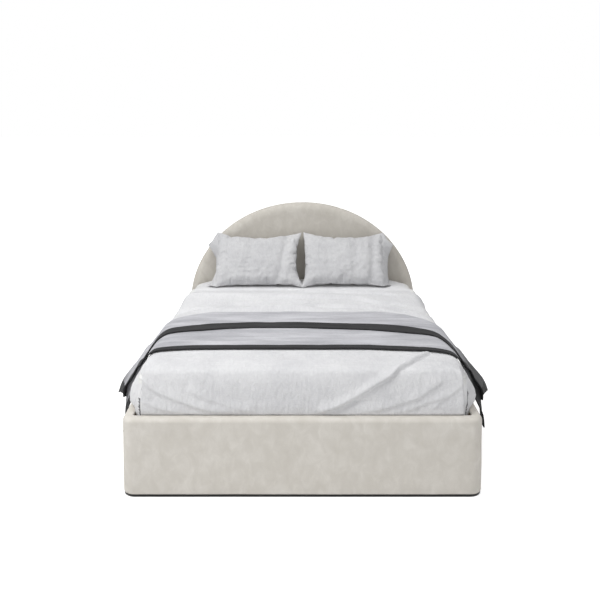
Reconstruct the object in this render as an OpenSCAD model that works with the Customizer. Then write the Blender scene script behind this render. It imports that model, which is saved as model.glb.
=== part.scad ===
// Upholstered double bed with an arched headboard and a lift-up store under the mattress.
// The origin is on the floor at the centre of the bed's footprint, +Y towards the headboard.
// Bedding lies on the mattress: a duvet, two pillows and a throw folded across the foot end.

/* [Mattress] */
// Width of the mattress
mattress_w = 1600; // [1400:10:1800]
// Length of the mattress
mattress_l = 2000; // [1950:10:2100]
// Thickness of the mattress
mattress_h = 230; // [180:5:260]
// Radius of the mattress's vertical corners
mattress_corner_r = 50; // [30:5:60]

/* [Upholstered base] */
// Height of the rails' top above the floor
rail_top = 380; // [370:5:420]
// Height of the glides that the base stands on
glide_h = 10; // [6:1:20]
// Thickness of the wooden boards
board_t = 18; // [15:1:22]
// Thickness of the padding outside the boards
padding_t = 32; // [26:1:40]
// Thickness of the padding over the boards' top edges
top_pad_t = 15; // [12:1:18]
// Plan radius of the front corners
corner_r = 60; // [50:1:70]
// Roll radius along the rails' top edge
top_roll_r = 24; // [16:1:26]
// Roll radius along the rails' bottom edge
bottom_roll_r = 26; // [16:1:26]
// Gap between the mattress and the side rails
side_gap = 10; // [8:1:20]
// Gap between the mattress and the foot rail
foot_gap = 24; // [22:1:30]
// Gap between the mattress and the headboard
head_gap = 30; // [28:1:45]
// Length that the foot padding returns along each side
foot_return = 40; // [30:1:60]

/* [Headboard] */
// Height of the headboard's top above the floor
headboard_top = 1120; // [1060:5:1200]
// Height at which the headboard's sides start to curve
arch_spring = 353; // [300:1:450]
// Thickness of the front cushion
head_pad_t = 45; // [38:1:50]
// Thickness of the wooden panel
head_panel_t = 25; // [22:1:30]
// Thickness of the back lining and its fillet
head_back_t = 10; // [6:1:12]
// Width of the upholstered border round the panel
head_border_w = 15; // [12:1:24]
// Depth by which the front cushion's edge is rolled back
head_roll = 22; // [14:1:26]

/* [Storage] */
// Height of the storage floor's upper face
floor_top = 36; // [34:1:42]
// Thickness of the storage floor panels
floor_t = 6; // [4:1:8]
// Width of each batten under the storage floor
batten_w = 60; // [40:5:80]
// Number of battens under the storage floor
batten_n = 5; // [3:1:7]
// Width of the ledgers that the platform rests on
ledger_w = 40; // [34:1:44]
// Height of the ledgers
ledger_h = 38; // [30:1:45]

/* [Platform] */
// Height of the platform tubes' underside
tube_bottom = 270; // [268:1:276]
// Side of the square platform tubes
tube_s = 30; // [26:1:32]
// Wall of the square platform tubes
tube_wall = 2; // [1.5:0.5:3]
// Thickness of a slat
slat_t = 8; // [6:1:9]
// Width of a slat
slat_w = 60; // [50:1:68]
// Number of slats along the bed
slat_n = 14; // [10:1:16]
// Height of a slat's crown over its ends
slat_bow = 7; // [4:1:8]
// Height from a tube's top to the underside of a slat's end
slat_lift = 4.7; // [3:0.1:6]

/* [Lift linkage] */
// Distance from the mattress's head end to the long link's base pivot
link_setback = 1080.6; // [1070:0.1:1095]
// Height of the long link's base pivot
base_pivot_z = 60; // [58:0.1:64]
// Run of the long link along the bed, from its base pivot to its platform pivot
long_run = 418; // [410:0.1:430]
// Rise of the long link from its base pivot to its platform pivot
long_rise = 137.2; // [130:0.1:142]
// Run from the long link's base pivot to the short link's base pivot
short_base_run = 104.3; // [98:0.1:112]
// Rise from the long link's base pivot to the short link's base pivot
short_base_rise = 136.2; // [132:0.1:140]
// Run from the platform pivot to the short link's pin
short_pin_run = 26.4; // [20:0.1:36]
// Rise from the platform pivot to the short link's pin
short_pin_rise = 64.8; // [60:0.1:68]
// Travel of the platform pin in the short link's slot
slot_travel = 8; // [8:0.5:12]
// Thickness of the long links
long_link_t = 5; // [4:0.5:6]
// Thickness of the short links, base plates and top plates
plate_t = 4; // [3:0.5:4.5]
// Half width of the long links
long_link_r = 18; // [15:0.5:20]
// Half width of the short links
short_link_r = 14; // [12:0.5:16]
// Radius of the link pivots
pivot_r = 6; // [4:0.5:7]
// Radius of the pin that runs in the short link's slot
slot_pin_r = 5; // [4:0.5:6]

/* [Gas struts] */
// Distance of both strut ends from the long link's base pivot
strut_arm = 190; // [180:1:196]
// Angle of the strut's foot below the pivot's level
strut_foot_angle = 3; // [1:0.5:5]
// Angle between the strut's two arms when the bed is shut
strut_spread = 71; // [68:0.5:74]
// Radius of the strut's tube
strut_tube_r = 11; // [9:0.5:11]
// Radius of the strut's rod
strut_rod_r = 5; // [4:0.5:6]
// Length of the strut's tube
strut_tube_l = 168; // [160:1:172]
// Radius of the strut's end studs
stud_r = 4; // [3:0.5:5]

/* [Bedding] */
// Thickness of the fitted sheet
sheet_t = 2; // [1:0.5:3]
// Height of the duvet's top above the sheet
duvet_t = 38; // [30:1:60]
// Distance that the duvet hangs outside the mattress
duvet_hang = 32; // [26:1:34]
// Height of the duvet's hem above the rails
hem_gap = 0.5; // [0.5:0.5:10]
// Distance from the headboard to the duvet's upper edge
duvet_head_gap = 410; // [380:5:460]
// Width of a pillow
pillow_w = 690; // [640:10:700]
// Height of a pillow
pillow_h = 480; // [460:5:500]
// Thickness of a pillow at its crown
pillow_t = 150; // [120:5:160]
// Thickness of the throw's cloth
throw_t = 6; // [4:1:8]
// Distance from the foot of the mattress to the throw's front edge
throw_front = 263; // [250:1:300]
// Width of the throw as it lies folded
throw_w = 641; // [600:1:700]
// Width of the throw's folded-back upper layer
throw_upper_w = 271; // [240:1:300]
// Height of the throw's hems above the floor at its fold
throw_hem = 160; // [120:5:200]
// Distance that the throw's fold flares out at its hem
throw_flare = 165; // [100:5:180]
// Distance that the throw's upper front edge hangs shorter than its fold
throw_lift = 90; // [40:5:110]
// Distance that the throw's fold swings to the foot at the bed's sides
throw_swing = 140; // [60:5:160]

/* [Hidden] */

// Small gaps
fit = 0.3;         // between faces that move past each other
run = 0.05;        // radial, between a pivot and its hole
cloth_fit = 0.4;   // between layers of bedding
eps = 0.01;        // overlap that joins shapes within one solid
FN = 48;           // segments of round parts

// Places across the bed
mattress_x = mattress_w / 2;
inner_x = mattress_x + side_gap;
board_x = inner_x + board_t;
outer_x = board_x + padding_t;

// Places along the bed
rail_t = board_t + padding_t;
head_t = head_pad_t + head_panel_t + head_back_t;
bed_l = rail_t + foot_gap + mattress_l + head_gap + head_t;
foot_out_y = -bed_l / 2;
foot_in_y = foot_out_y + rail_t;
mattress_foot_y = foot_in_y + foot_gap;
mattress_head_y = mattress_foot_y + mattress_l;
head_y = mattress_head_y + head_gap;
back_y = head_y + head_t;
panel_y = head_y + head_pad_t;
rail_head_y = head_y - fit;

// Heights
base_bottom = glide_h;
lining_t = 2;
board_bottom = base_bottom + lining_t;
board_top = rail_top - top_pad_t;
tube_top = tube_bottom + tube_s;
slat_bottom = tube_top + slat_lift;
mattress_z = slat_bottom + slat_bow + slat_t + fit;
mattress_top = mattress_z + mattress_h;
sheet_top = mattress_top + sheet_t;
duvet_top = sheet_top + duvet_t;

// Layers of the linkage, outwards to inwards on each side
base_plate_x = inner_x - plate_t;
short_out_x = base_plate_x - 1.5;
short_in_x = short_out_x - plate_t;
long_out_x = short_in_x - 3;
long_in_x = long_out_x - long_link_t;
top_plate_out_x = long_in_x - 3.5;
tube_out_x = top_plate_out_x - plate_t;
tube_in_x = tube_out_x - tube_s;
strut_x = tube_out_x - tube_s / 2;
head_disc_t = 2;

// Pivot centres as [y, z]
base_pivot = [mattress_head_y - link_setback, base_pivot_z];
plat_pivot = base_pivot + [long_run, long_rise];
short_base = base_pivot + [short_base_run, short_base_rise];
short_plat = plat_pivot + [short_pin_run, short_pin_rise];
strut_foot = base_pivot + strut_arm * [cos(-strut_foot_angle), sin(-strut_foot_angle)];
strut_head_angle = strut_spread - strut_foot_angle;
strut_head = base_pivot + strut_arm * [cos(strut_head_angle), sin(strut_head_angle)];

function angle_of(a, b) = atan2(b[1] - a[1], b[0] - a[0]);
function dist(a, b) = norm(b - a);
function lerp(a, b, t) = a + (b - a) * t;
function smooth(t) = let(c = min(1, max(0, t))) c * c * (3 - 2 * c);

// Put right-hand geometry on the chosen side: 1 is right, -1 is left
module on_side(s) {
    if (s > 0) children();
    else mirror([1, 0, 0]) children();
}

// A cylinder along X from x0 to x1 at p = [y, z]
module rod_x(p, x0, x1, r) {
    translate([x0, p[0], p[1]]) rotate([0, 90, 0]) cylinder(r = r, h = x1 - x0, $fn = FN);
}

// A flat plate across X from x0 to x1, its outline drawn in (y, z)
module plate_x(x0, x1) {
    translate([x0, 0, 0]) rotate([90, 0, 90]) linear_extrude(x1 - x0) children();
}

// A bar with round ends from a to b. Its sides stand in by eps, so that they cross the ends' circles.
module bar_2d(a, b, r) {
    side = r - eps;
    translate(a) rotate(angle_of(a, b)) translate([0, -side]) square([dist(a, b), 2 * side]);
    translate(a) circle(r, $fn = FN);
    translate(b) circle(r, $fn = FN);
}

// A rectangle from [x0, y0] to [x1, y1] with a corner radius
module round_rect(x0, y0, x1, y1, r) {
    translate([x0 + r, y0]) square([x1 - x0 - 2 * r, y1 - y0]);
    translate([x0, y0 + r]) square([x1 - x0, y1 - y0 - 2 * r]);
    for (x = [x0 + r, x1 - r], y = [y0 + r, y1 - r]) translate([x, y]) circle(r, $fn = FN);
}

// A closed skin over a list of rings, each with the same number of points.
// first and last are the points that close the two ends.
module loft(rings, first, last) {
    n = len(rings[0]);
    k = len(rings);
    points = concat([first], [for (ring = rings) each ring], [last]);
    start = [for (j = [0:n - 1]) [0, 1 + j, 1 + (j + 1) % n]];
    sides = [for (i = [0:k - 2], j = [0:n - 1])
        let(a = 1 + i * n + j, b = 1 + i * n + (j + 1) % n)
        each [[a, a + n, b + n], [a, b + n, b]]];
    end = [for (j = [0:n - 1]) [1 + k * n, 1 + (k - 1) * n + (j + 1) % n, 1 + (k - 1) * n + j]];
    polyhedron(points, concat(start, sides, end));
}

// Section of an upholstered rail: s runs outwards from the board's inner face, t upwards
module rail_section() {
    difference() {
        union() {
            translate([0, base_bottom]) square([rail_t - bottom_roll_r, rail_top - base_bottom - top_roll_r]);
            translate([rail_t - bottom_roll_r - eps, base_bottom + bottom_roll_r])
                square([bottom_roll_r + eps, rail_top - base_bottom - bottom_roll_r - top_roll_r]);
            translate([0, rail_top - top_roll_r - eps]) square([rail_t - top_roll_r, top_roll_r + eps]);
            translate([rail_t - bottom_roll_r, base_bottom + bottom_roll_r]) circle(bottom_roll_r, $fn = FN);
            translate([rail_t - top_roll_r, rail_top - top_roll_r]) circle(top_roll_r, $fn = FN);
        }
        translate([-eps, board_bottom]) square([board_t + eps, board_top - board_bottom]);
        translate([-rail_t, 0]) square([rail_t, rail_top]);
    }
}

// Base frame

corner_x = outer_x - corner_r;
corner_y = foot_out_y + corner_r;
return_y = corner_y + foot_return;
ledger_z = tube_bottom - ledger_h;
head_rail_y = rail_head_y - board_t;
floor_l = head_rail_y - foot_in_y;

// Edges of the base plate that carries the lift linkage
plate_y0 = base_pivot[0] - 2 * long_link_r;
plate_y1 = strut_foot[0] + 2 * long_link_r;
plate_z0 = base_pivot[1] - long_link_r - plate_t;
plate_z1 = short_base[1] + 2 * short_link_r;

// Countersunk screws that hold a base plate to its side board, as [y, z]
screw_r = 2.4;
screw_l = 14;
screw_inset = 15;
screw_points = [
    [plate_y0 + screw_inset, plate_z0 + screw_inset],
    [plate_y0 + screw_inset, plate_z1 - screw_inset],
    [plate_y1 - screw_inset, (plate_z0 + plate_z1) / 2],
    [(plate_y0 + plate_y1) / 2, plate_z0 + screw_inset]];

module foot_board() {
    color("burlywood")
        translate([-corner_x, foot_out_y + padding_t, board_bottom])
            cube([2 * corner_x, board_t, board_top - board_bottom]);
}

module side_board(s) {
    color("burlywood") on_side(s) difference() {
        translate([inner_x, corner_y, board_bottom])
            cube([board_t, rail_head_y - corner_y, board_top - board_bottom]);
        for (p = screw_points) rod_x(p, inner_x - 1, inner_x + screw_l + fit, screw_r + run);
    }
}

block_s = 50;

// Quarter-round post between the foot board and a side board, with a glue block behind it
module corner_block(s) {
    post_r = corner_r - padding_t;
    block_h = ledger_z - fit - board_bottom;
    color("peru") on_side(s) {
        intersection() {
            translate([corner_x, corner_y, board_bottom])
                cylinder(r = post_r, h = board_top - board_bottom, $fn = FN);
            translate([corner_x, corner_y - post_r, board_bottom])
                cube([post_r, post_r, board_top - board_bottom]);
        }
        translate([inner_x - block_s, foot_in_y, board_bottom]) cube([block_s, block_s, block_h]);
    }
}

// Padding and cloth of the foot rail, carried round both front corners
module foot_upholstery() {
    color("antiquewhite") {
        translate([corner_x, foot_in_y, 0]) rotate([90, 0, -90])
            linear_extrude(2 * corner_x) rail_section();
        for (s = [-1, 1]) on_side(s) {
            translate([corner_x, corner_y, 0]) rotate([0, 0, -90])
                rotate_extrude(angle = 90, $fn = 2 * FN)
                    translate([corner_r - rail_t, 0]) rail_section();
            translate([inner_x, return_y, 0]) rotate([90, 0, 0])
                linear_extrude(foot_return) rail_section();
        }
    }
}

module side_upholstery(s) {
    color("antiquewhite") on_side(s)
        translate([inner_x, rail_head_y, 0]) rotate([90, 0, 0])
            linear_extrude(rail_head_y - return_y) rail_section();
}

module head_rail() {
    color("burlywood") difference() {
        translate([-inner_x, head_rail_y, board_bottom])
            cube([2 * inner_x, board_t, ledger_z + ledger_h - 2 - board_bottom]);
        bolt_holes();
    }
}

module ledger(y, half_l) {
    color("peru") translate([-half_l, y, ledger_z]) cube([2 * half_l, ledger_w, ledger_h]);
}

// Headboard, bolted to the head rail

bolt_r = 4;
bolt_x = inner_x - 30;
bolt_z = [80, 180];
bracket_t = 4;
bracket_leg = 55;
bolt_l = bracket_t + board_t + fit + head_pad_t + head_panel_t - 6;

function head_outline(inset) = concat(
    [for (a = [0:4.5:180]) [(outer_x - inset) * cos(a),
        arch_spring + (headboard_top - arch_spring - inset) * sin(a)]],
    [[inset - outer_x, base_bottom + inset], [outer_x - inset, base_bottom + inset]]);
function head_ring(inset, y) = [for (p = head_outline(inset)) [p[0], y, p[1]]];

// A slab with the headboard's outline from y0 to y1
module head_slab(inset, y0, y1) {
    translate([0, y1, 0]) rotate([90, 0, 0]) linear_extrude(y1 - y0) polygon(head_outline(inset));
}

module bolt_holes() {
    for (x = [-bolt_x, bolt_x], z = bolt_z)
        translate([x, head_rail_y - 1, z]) rotate([-90, 0, 0])
            cylinder(r = bolt_r + fit, h = bolt_l + 1, $fn = FN);
}

module headboard_panel() {
    color("burlywood") difference() {
        head_slab(head_border_w, panel_y, panel_y + head_panel_t);
        bolt_holes();
    }
}

// Front cushion, full in the middle and rolled back to its edge
module headboard_pad() {
    roll = [[0, 1], [2.5, 0.62], [9, 0.3], [24, 0.08], [60, 0]];
    rings = concat([head_ring(0, panel_y)],
        [for (r = roll) head_ring(r[0], head_y + head_roll * r[1])]);
    mid = (base_bottom + headboard_top) / 2;
    color("tan") difference() {
        loft(rings, [0, panel_y, mid], [0, head_y, mid]);
        bolt_holes();
    }
}

// Upholstered border that wraps the panel's edge
module headboard_border() {
    color("tan") difference() {
        head_slab(0, panel_y, back_y);
        head_slab(head_border_w, panel_y - 1, back_y + 1);
    }
}

module headboard_back() {
    color("dimgray") head_slab(head_border_w, panel_y + head_panel_t, back_y);
}

module headboard_bolts() {
    color("silver") for (x = [-bolt_x, bolt_x], z = bolt_z)
        translate([x, head_rail_y - bracket_t, z]) rotate([-90, 0, 0]) {
            cylinder(r = bolt_r, h = bolt_l, $fn = FN);
            translate([0, 0, -5]) cylinder(r = 7.5, h = 5, $fn = 6);
        }
}

// Steel angle in the corner of a side board and the head rail
module head_bracket(s) {
    z0 = bolt_z[0] - 30;
    h = bolt_z[1] - bolt_z[0] + 60;
    color("gray") on_side(s) difference() {
        union() {
            translate([inner_x - bracket_leg, head_rail_y - bracket_t, z0]) cube([bracket_leg, bracket_t, h]);
            translate([inner_x - bracket_t, head_rail_y - bracket_leg, z0]) cube([bracket_t, bracket_leg, h]);
        }
        bolt_holes_through_bracket();
    }
}

module bolt_holes_through_bracket() {
    for (z = bolt_z)
        translate([bolt_x, head_rail_y - 2 * bracket_t, z]) rotate([-90, 0, 0])
            cylinder(r = bolt_r + fit, h = 3 * bracket_t, $fn = FN);
}

// Storage floor and what the base stands on

batten_gap = 55;
last_batten_gap = 25;
first_batten_y = foot_in_y + batten_gap + batten_w / 2;
last_batten_y = head_rail_y - bracket_leg - last_batten_gap - batten_w / 2;

module glides() {
    glide_r = 18;
    glide_x = inner_x + board_t / 2;
    head_glide_y = rail_head_y - 60;
    places = concat(
        [for (x = [-glide_x, glide_x], y = [return_y, 0, head_glide_y]) [x, y]],
        [for (x = [-glide_x / 3, glide_x / 3]) [x, first_batten_y]]);
    color("black") for (p = places) translate([p[0], p[1], 0]) cylinder(r = glide_r, h = glide_h, $fn = FN);
}

// Thin cloth under the base, its front corners cut to clear the rounded rail
module base_lining() {
    cut = corner_r - rail_t;
    color("black") translate([0, 0, base_bottom]) linear_extrude(lining_t) polygon([
        [cut - inner_x, foot_in_y], [inner_x - cut, foot_in_y], [inner_x, foot_in_y + cut],
        [inner_x, foot_in_y + floor_l], [-inner_x, foot_in_y + floor_l], [-inner_x, foot_in_y + cut]]);
}

module floor_battens() {
    batten_h = floor_top - floor_t - board_bottom;
    color("peru") for (i = [0:batten_n - 1])
        translate([-inner_x, lerp(first_batten_y, last_batten_y, i / (batten_n - 1)) - batten_w / 2, board_bottom])
            cube([2 * inner_x, batten_w, batten_h]);
}

// The two floor panels meet on the bed's centre line and clear the front glue blocks
module floor_panel(s) {
    color("wheat") on_side(s) difference() {
        translate([fit, foot_in_y + fit, floor_top - floor_t])
            cube([inner_x - 2 * fit, floor_l - 2 * fit, floor_t]);
        translate([inner_x - block_s - fit, foot_in_y - 1, 0])
            cube([block_s + 1, block_s + 1 + fit, floor_top + 1]);
    }
}

// Lift linkage. The long link carries the platform and the short link tilts it.

tail_r = pivot_r - 1;
link_vector = plat_pivot - base_pivot;

module base_plate(s) {
    window = [(plate_y0 + plate_y1) / 2, (plate_z0 + plate_z1) / 2];
    window_r = 26;
    color("dimgray") on_side(s) difference() {
        plate_x(base_plate_x, inner_x) difference() {
            round_rect(plate_y0, plate_z0, plate_y1, plate_z1, 12);
            translate(window) circle(window_r, $fn = FN);
        }
        for (p = [base_pivot, short_base, strut_foot])
            rod_x(p, base_plate_x - 1, inner_x + 1, tail_r + run);
        for (p = screw_points) rod_x(p, base_plate_x - 1, inner_x + 1, screw_r + run);
    }
}

module plate_screws() {
    color("silver") for (s = [-1, 1]) on_side(s) for (p = screw_points) {
        rod_x(p, base_plate_x - 0.5, inner_x + screw_l, screw_r);
        rod_x(p, base_plate_x - 1.2, base_plate_x, 2 * screw_r);
    }
}

// A riveted pin: its tail sits in a plate from x0 to x1, and a bar turns on it from b0 to b1
module pivot_pin(p, x0, x1, b0, b1, r) {
    outward = b0 > x1;
    near = outward ? b0 - fit : b1 + fit;
    far = outward ? b1 + fit : b0 - fit;
    seat = outward ? x1 : x0;
    rod_x(p, x0, x1, r - 1);
    rod_x(p, min(seat, near), max(seat, near), r + 3);
    rod_x(p, min(near, far), max(near, far), r);
    rod_x(p, outward ? far : far - head_disc_t, outward ? far + head_disc_t : far, r + 4);
}

strut_eye_t = 14;
eye_in_x = strut_x - strut_eye_t / 2;
eye_out_x = strut_x + strut_eye_t / 2;

module base_pins() {
    color("silver") for (s = [-1, 1]) on_side(s) {
        pivot_pin(base_pivot, base_plate_x, inner_x - fit, long_in_x, long_out_x, pivot_r);
        pivot_pin(short_base, base_plate_x, inner_x - fit, short_in_x, short_out_x, pivot_r);
        rod_x(strut_foot, base_plate_x, inner_x - fit, tail_r);
        strut_stud(strut_foot, base_plate_x);
    }
}

// Stud that a strut's eye turns on, standing inwards from a plate's face at x
module strut_stud(p, x) {
    rod_x(p, eye_out_x + fit, x, stud_r + 4);
    rod_x(p, eye_in_x - fit, eye_out_x + fit, stud_r);
    rod_x(p, eye_in_x - fit - head_disc_t, eye_in_x - fit, stud_r + 3);
}

module long_link(s) {
    elbow = base_pivot + 0.5 * link_vector;
    arm_r = long_link_r - 3;
    window = (base_pivot + strut_head + elbow) / 3;
    color("dimgray") on_side(s) difference() {
        plate_x(long_in_x, long_out_x) difference() {
            union() {
                bar_2d(base_pivot, plat_pivot, long_link_r);
                bar_2d(base_pivot, strut_head, arm_r);
                bar_2d(strut_head, elbow, arm_r);
                polygon([base_pivot, elbow, strut_head]);
            }
            translate(window) circle(12, $fn = FN);
        }
        rod_x(base_pivot, long_in_x - 1, long_out_x + 1, pivot_r + run);
        rod_x(plat_pivot, long_in_x - 1, long_out_x + 1, pivot_r + run);
        rod_x(strut_head, long_in_x - 1, long_out_x + 1, stud_r + run);
    }
}

module link_studs() {
    color("silver") for (s = [-1, 1]) on_side(s) {
        rod_x(strut_head, long_in_x, long_out_x, stud_r);
        strut_stud(strut_head, long_in_x);
    }
}

// The short link's upper hole is a slot, because its pin moves slot_travel towards the pivot
module short_link(s) {
    reach = dist(short_base, short_plat);
    slot_r = slot_pin_r + fit;
    color("dimgray") on_side(s) difference() {
        plate_x(short_in_x, short_out_x) bar_2d(short_base, short_plat, short_link_r);
        rod_x(short_base, short_in_x - 1, short_out_x + 1, pivot_r + run);
        plate_x(short_in_x - 1, short_out_x + 1)
            bar_2d(short_plat - (slot_travel + fit) / reach * (short_plat - short_base), short_plat, slot_r);
    }
}

// Gas struts. Both arms of the strut are the same length, so it turns half as far as the link.

strut_end = 18;
strut_wall = 1.5;
strut_cap = 4;
strut_gland = 6;
strut_shut_l = dist(strut_foot, strut_head);
strut_rod_l = strut_shut_l - strut_end - strut_cap - 6;
piston_t = 8;

// Local Z runs from the strut's foot to its head
module along_strut(s) {
    on_side(s) translate([strut_x, strut_foot[0], strut_foot[1]])
        rotate([angle_of(strut_foot, strut_head) - 90, 0, 0]) children();
}

// End eye of a strut with its neck, at the origin, the neck running up local Z
module strut_eye(neck_r, neck_l) {
    difference() {
        union() {
            rotate([0, 90, 0]) translate([0, 0, -strut_eye_t / 2])
                cylinder(r = stud_r + 5, h = strut_eye_t, $fn = FN);
            cylinder(r = neck_r, h = neck_l, $fn = FN);
        }
        rotate([0, 90, 0]) translate([0, 0, -strut_eye_t])
            cylinder(r = stud_r + run, h = 2 * strut_eye_t, $fn = FN);
    }
}

module strut_tube(s) {
    color("black") along_strut(s) {
        strut_eye(6, strut_end + eps);
        difference() {
            translate([0, 0, strut_end]) cylinder(r = strut_tube_r, h = strut_tube_l, $fn = FN);
            translate([0, 0, strut_end + strut_cap])
                cylinder(r = strut_tube_r - strut_wall, h = strut_tube_l - strut_cap - strut_gland, $fn = FN);
            translate([0, 0, strut_end + strut_cap + 1])
                cylinder(r = strut_rod_r + fit, h = strut_tube_l, $fn = FN);
        }
    }
}

module strut_rod(s) {
    piston_r = strut_tube_r - strut_wall - fit;
    color("silver") along_strut(s) translate([0, 0, strut_shut_l]) mirror([0, 0, 1]) {
        strut_eye(6, strut_end - 2);
        difference() {
            cylinder(r = strut_rod_r, h = strut_rod_l, $fn = FN);
            rotate([0, 90, 0]) translate([0, 0, -strut_eye_t])
                cylinder(r = stud_r + run, h = 2 * strut_eye_t, $fn = FN);
        }
        translate([0, 0, strut_rod_l - piston_t]) cylinder(r = piston_r, h = piston_t, $fn = FN);
    }
}

// Platform: a welded frame of square tube with sprung slats

top_plate_l = 540;
top_plate_y0 = plat_pivot[0] - top_plate_l / 2;
web_run = 75;

// Square tube between two corners, open along the axis given as 0 for X or 1 for Y
module square_tube(p, size, axis) {
    w = tube_wall;
    bore = axis == 0 ? [size[0] + 2, size[1] - 2 * w, size[2] - 2 * w]
        : [size[0] - 2 * w, size[1] + 2, size[2] - 2 * w];
    from = axis == 0 ? [-1, w, w] : [w, -1, w];
    translate(p) difference() {
        cube(size);
        translate(from) cube(bore);
    }
}

module frame_tube_side(s) {
    color("dimgray") on_side(s)
        square_tube([tube_in_x, mattress_foot_y, tube_bottom], [tube_s, mattress_l, tube_s], 1);
}

module frame_tube_across(y) {
    color("dimgray") square_tube([-tube_in_x, y, tube_bottom], [2 * tube_in_x, tube_s, tube_s], 0);
}

middle_y = mattress_foot_y + mattress_l / 2 - tube_s / 2;

module frame_tube_centre() {
    half_l = (mattress_l - 3 * tube_s) / 2;
    color("dimgray") for (y = [mattress_foot_y + tube_s, middle_y + tube_s])
        square_tube([-tube_s / 2, y, tube_bottom], [tube_s, half_l, tube_s], 1);
}

// Plate welded along the side tube, with a lobe that hangs down to the two pivots
module top_plate(s) {
    lobe_r = long_link_r + 2;
    tube_mid = tube_bottom + tube_s / 2;
    color("dimgray") on_side(s) difference() {
        plate_x(tube_out_x, top_plate_out_x) {
            translate([top_plate_y0, tube_bottom]) square([top_plate_l, tube_s]);
            bar_2d(plat_pivot, [plat_pivot[0], tube_mid], lobe_r);
            bar_2d(short_plat, [short_plat[0], tube_mid], short_link_r);
            polygon([[plat_pivot[0] - web_run, tube_mid], plat_pivot - lobe_r * [cos(30), sin(30)],
                plat_pivot + lobe_r * [cos(30), -sin(30)], [short_plat[0] + web_run, tube_mid]]);
        }
        rod_x(plat_pivot, tube_out_x - 1, top_plate_out_x + 1, tail_r + run);
        rod_x(short_plat, tube_out_x - 1, top_plate_out_x + 1, slot_pin_r - 1 + run);
    }
}

module platform_pins() {
    color("silver") for (s = [-1, 1]) on_side(s) {
        pivot_pin(plat_pivot, tube_out_x + fit, top_plate_out_x, long_in_x, long_out_x, pivot_r);
        pivot_pin(short_plat, tube_out_x + fit, top_plate_out_x, short_in_x, short_out_x, slot_pin_r);
    }
}

slat_in_x = 3;
slat_out_x = tube_out_x - 4;
slat_first_y = mattress_foot_y + 70;
slat_pitch = (mattress_l - 140) / (slat_n - 1);

function slat_rise(t) = slat_bow * (1 - pow(2 * t - 1, 2));

// One slat's bowed outline in (x, z)
module slat_outline() {
    steps = 10;
    polygon(concat(
        [for (i = [0:steps]) [lerp(slat_in_x, slat_out_x, i / steps), slat_bottom + slat_rise(i / steps)]],
        [for (i = [steps:-1:0])
            [lerp(slat_in_x, slat_out_x, i / steps), slat_bottom + slat_t + slat_rise(i / steps)]]));
}

module slats(s) {
    color("burlywood") on_side(s) for (i = [0:slat_n - 1])
        translate([0, slat_first_y + i * slat_pitch + slat_w / 2, 0]) rotate([90, 0, 0])
            linear_extrude(slat_w) slat_outline();
}

// Plastic holders: one pair of pockets on the centre tube and one pocket on each side tube
module slat_holders() {
    wall = 3;
    grip = 24;
    holder_w = slat_w + 2 * wall;
    holder_h = slat_lift + slat_t + 1 + 2;
    pocket_h = slat_t + 1 + fit;
    color("black") for (i = [0:slat_n - 1]) translate([0, slat_first_y + i * slat_pitch, tube_top]) {
        difference() {
            translate([-tube_s / 2, -holder_w / 2, 0]) cube([tube_s, holder_w, holder_h]);
            for (x = [-tube_s, slat_in_x - fit])
                translate([x, -slat_w / 2 - fit, slat_lift - fit])
                    cube([tube_s - slat_in_x + fit, slat_w + 2 * fit, pocket_h]);
        }
        for (s = [-1, 1]) on_side(s) difference() {
            translate([slat_out_x + wall - grip, -holder_w / 2, 0]) cube([grip, holder_w, holder_h]);
            translate([slat_out_x + fit - grip - 1, -slat_w / 2 - fit, slat_lift - fit])
                cube([grip + 1, slat_w + 2 * fit, pocket_h]);
        }
    }
}

stop_r = 4;
stop_y = mattress_foot_y - sheet_t - fit - stop_r;

// Bent bar at the foot that keeps the mattress from sliding when the platform is tilted
module mattress_stop() {
    half_w = 250;
    foot_w = 20;
    foot_h = 14;
    low_z = tube_bottom + 2 * stop_r;
    high_z = rail_top - 2 * stop_r;
    color("dimgray") {
        for (x = [-half_w, half_w]) {
            translate([x, stop_y, low_z]) cylinder(r = stop_r, h = high_z - low_z, $fn = FN);
            translate([x, stop_y, high_z]) sphere(r = stop_r, $fn = FN);
            translate([x - foot_w / 2, stop_y, low_z + 2]) cube([foot_w, mattress_foot_y - stop_y, foot_h]);
        }
        rod_x([stop_y, high_z], -half_w, half_w, stop_r);
    }
}

// Loop of webbing for lifting the platform, standing in the gap at the foot
module lift_strap() {
    strap_w = 40;
    web = 1.2;
    loop_t = 3 * web;
    tab_h = 18;
    z0 = tube_bottom + 6;
    h = rail_top - 5 * stop_r - z0;
    y0 = mattress_foot_y - sheet_t - fit - loop_t;
    color("black") {
        plate_x(-strap_w / 2, strap_w / 2) difference() {
            translate([y0, z0]) square([loop_t, h]);
            translate([y0 + web, z0 + tab_h + 2]) square([loop_t - 2 * web, h - tab_h - 2 - web]);
        }
        translate([-strap_w / 2, y0 + loop_t - eps, z0])
            cube([strap_w, mattress_foot_y - y0 - loop_t + eps, tab_h]);
    }
}

// Mattress and bedding

module mattress_block(grow, z0, z1) {
    translate([0, 0, z0]) linear_extrude(z1 - z0)
        round_rect(-mattress_x - grow, mattress_foot_y - grow, mattress_x + grow, mattress_head_y + grow,
            mattress_corner_r + grow);
}

module mattress() {
    color("whitesmoke") mattress_block(0, mattress_z, mattress_top);
}

module fitted_sheet() {
    color("white") difference() {
        mattress_block(sheet_t, mattress_z + 1, sheet_top);
        mattress_block(0, mattress_z, mattress_top);
    }
}

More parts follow.
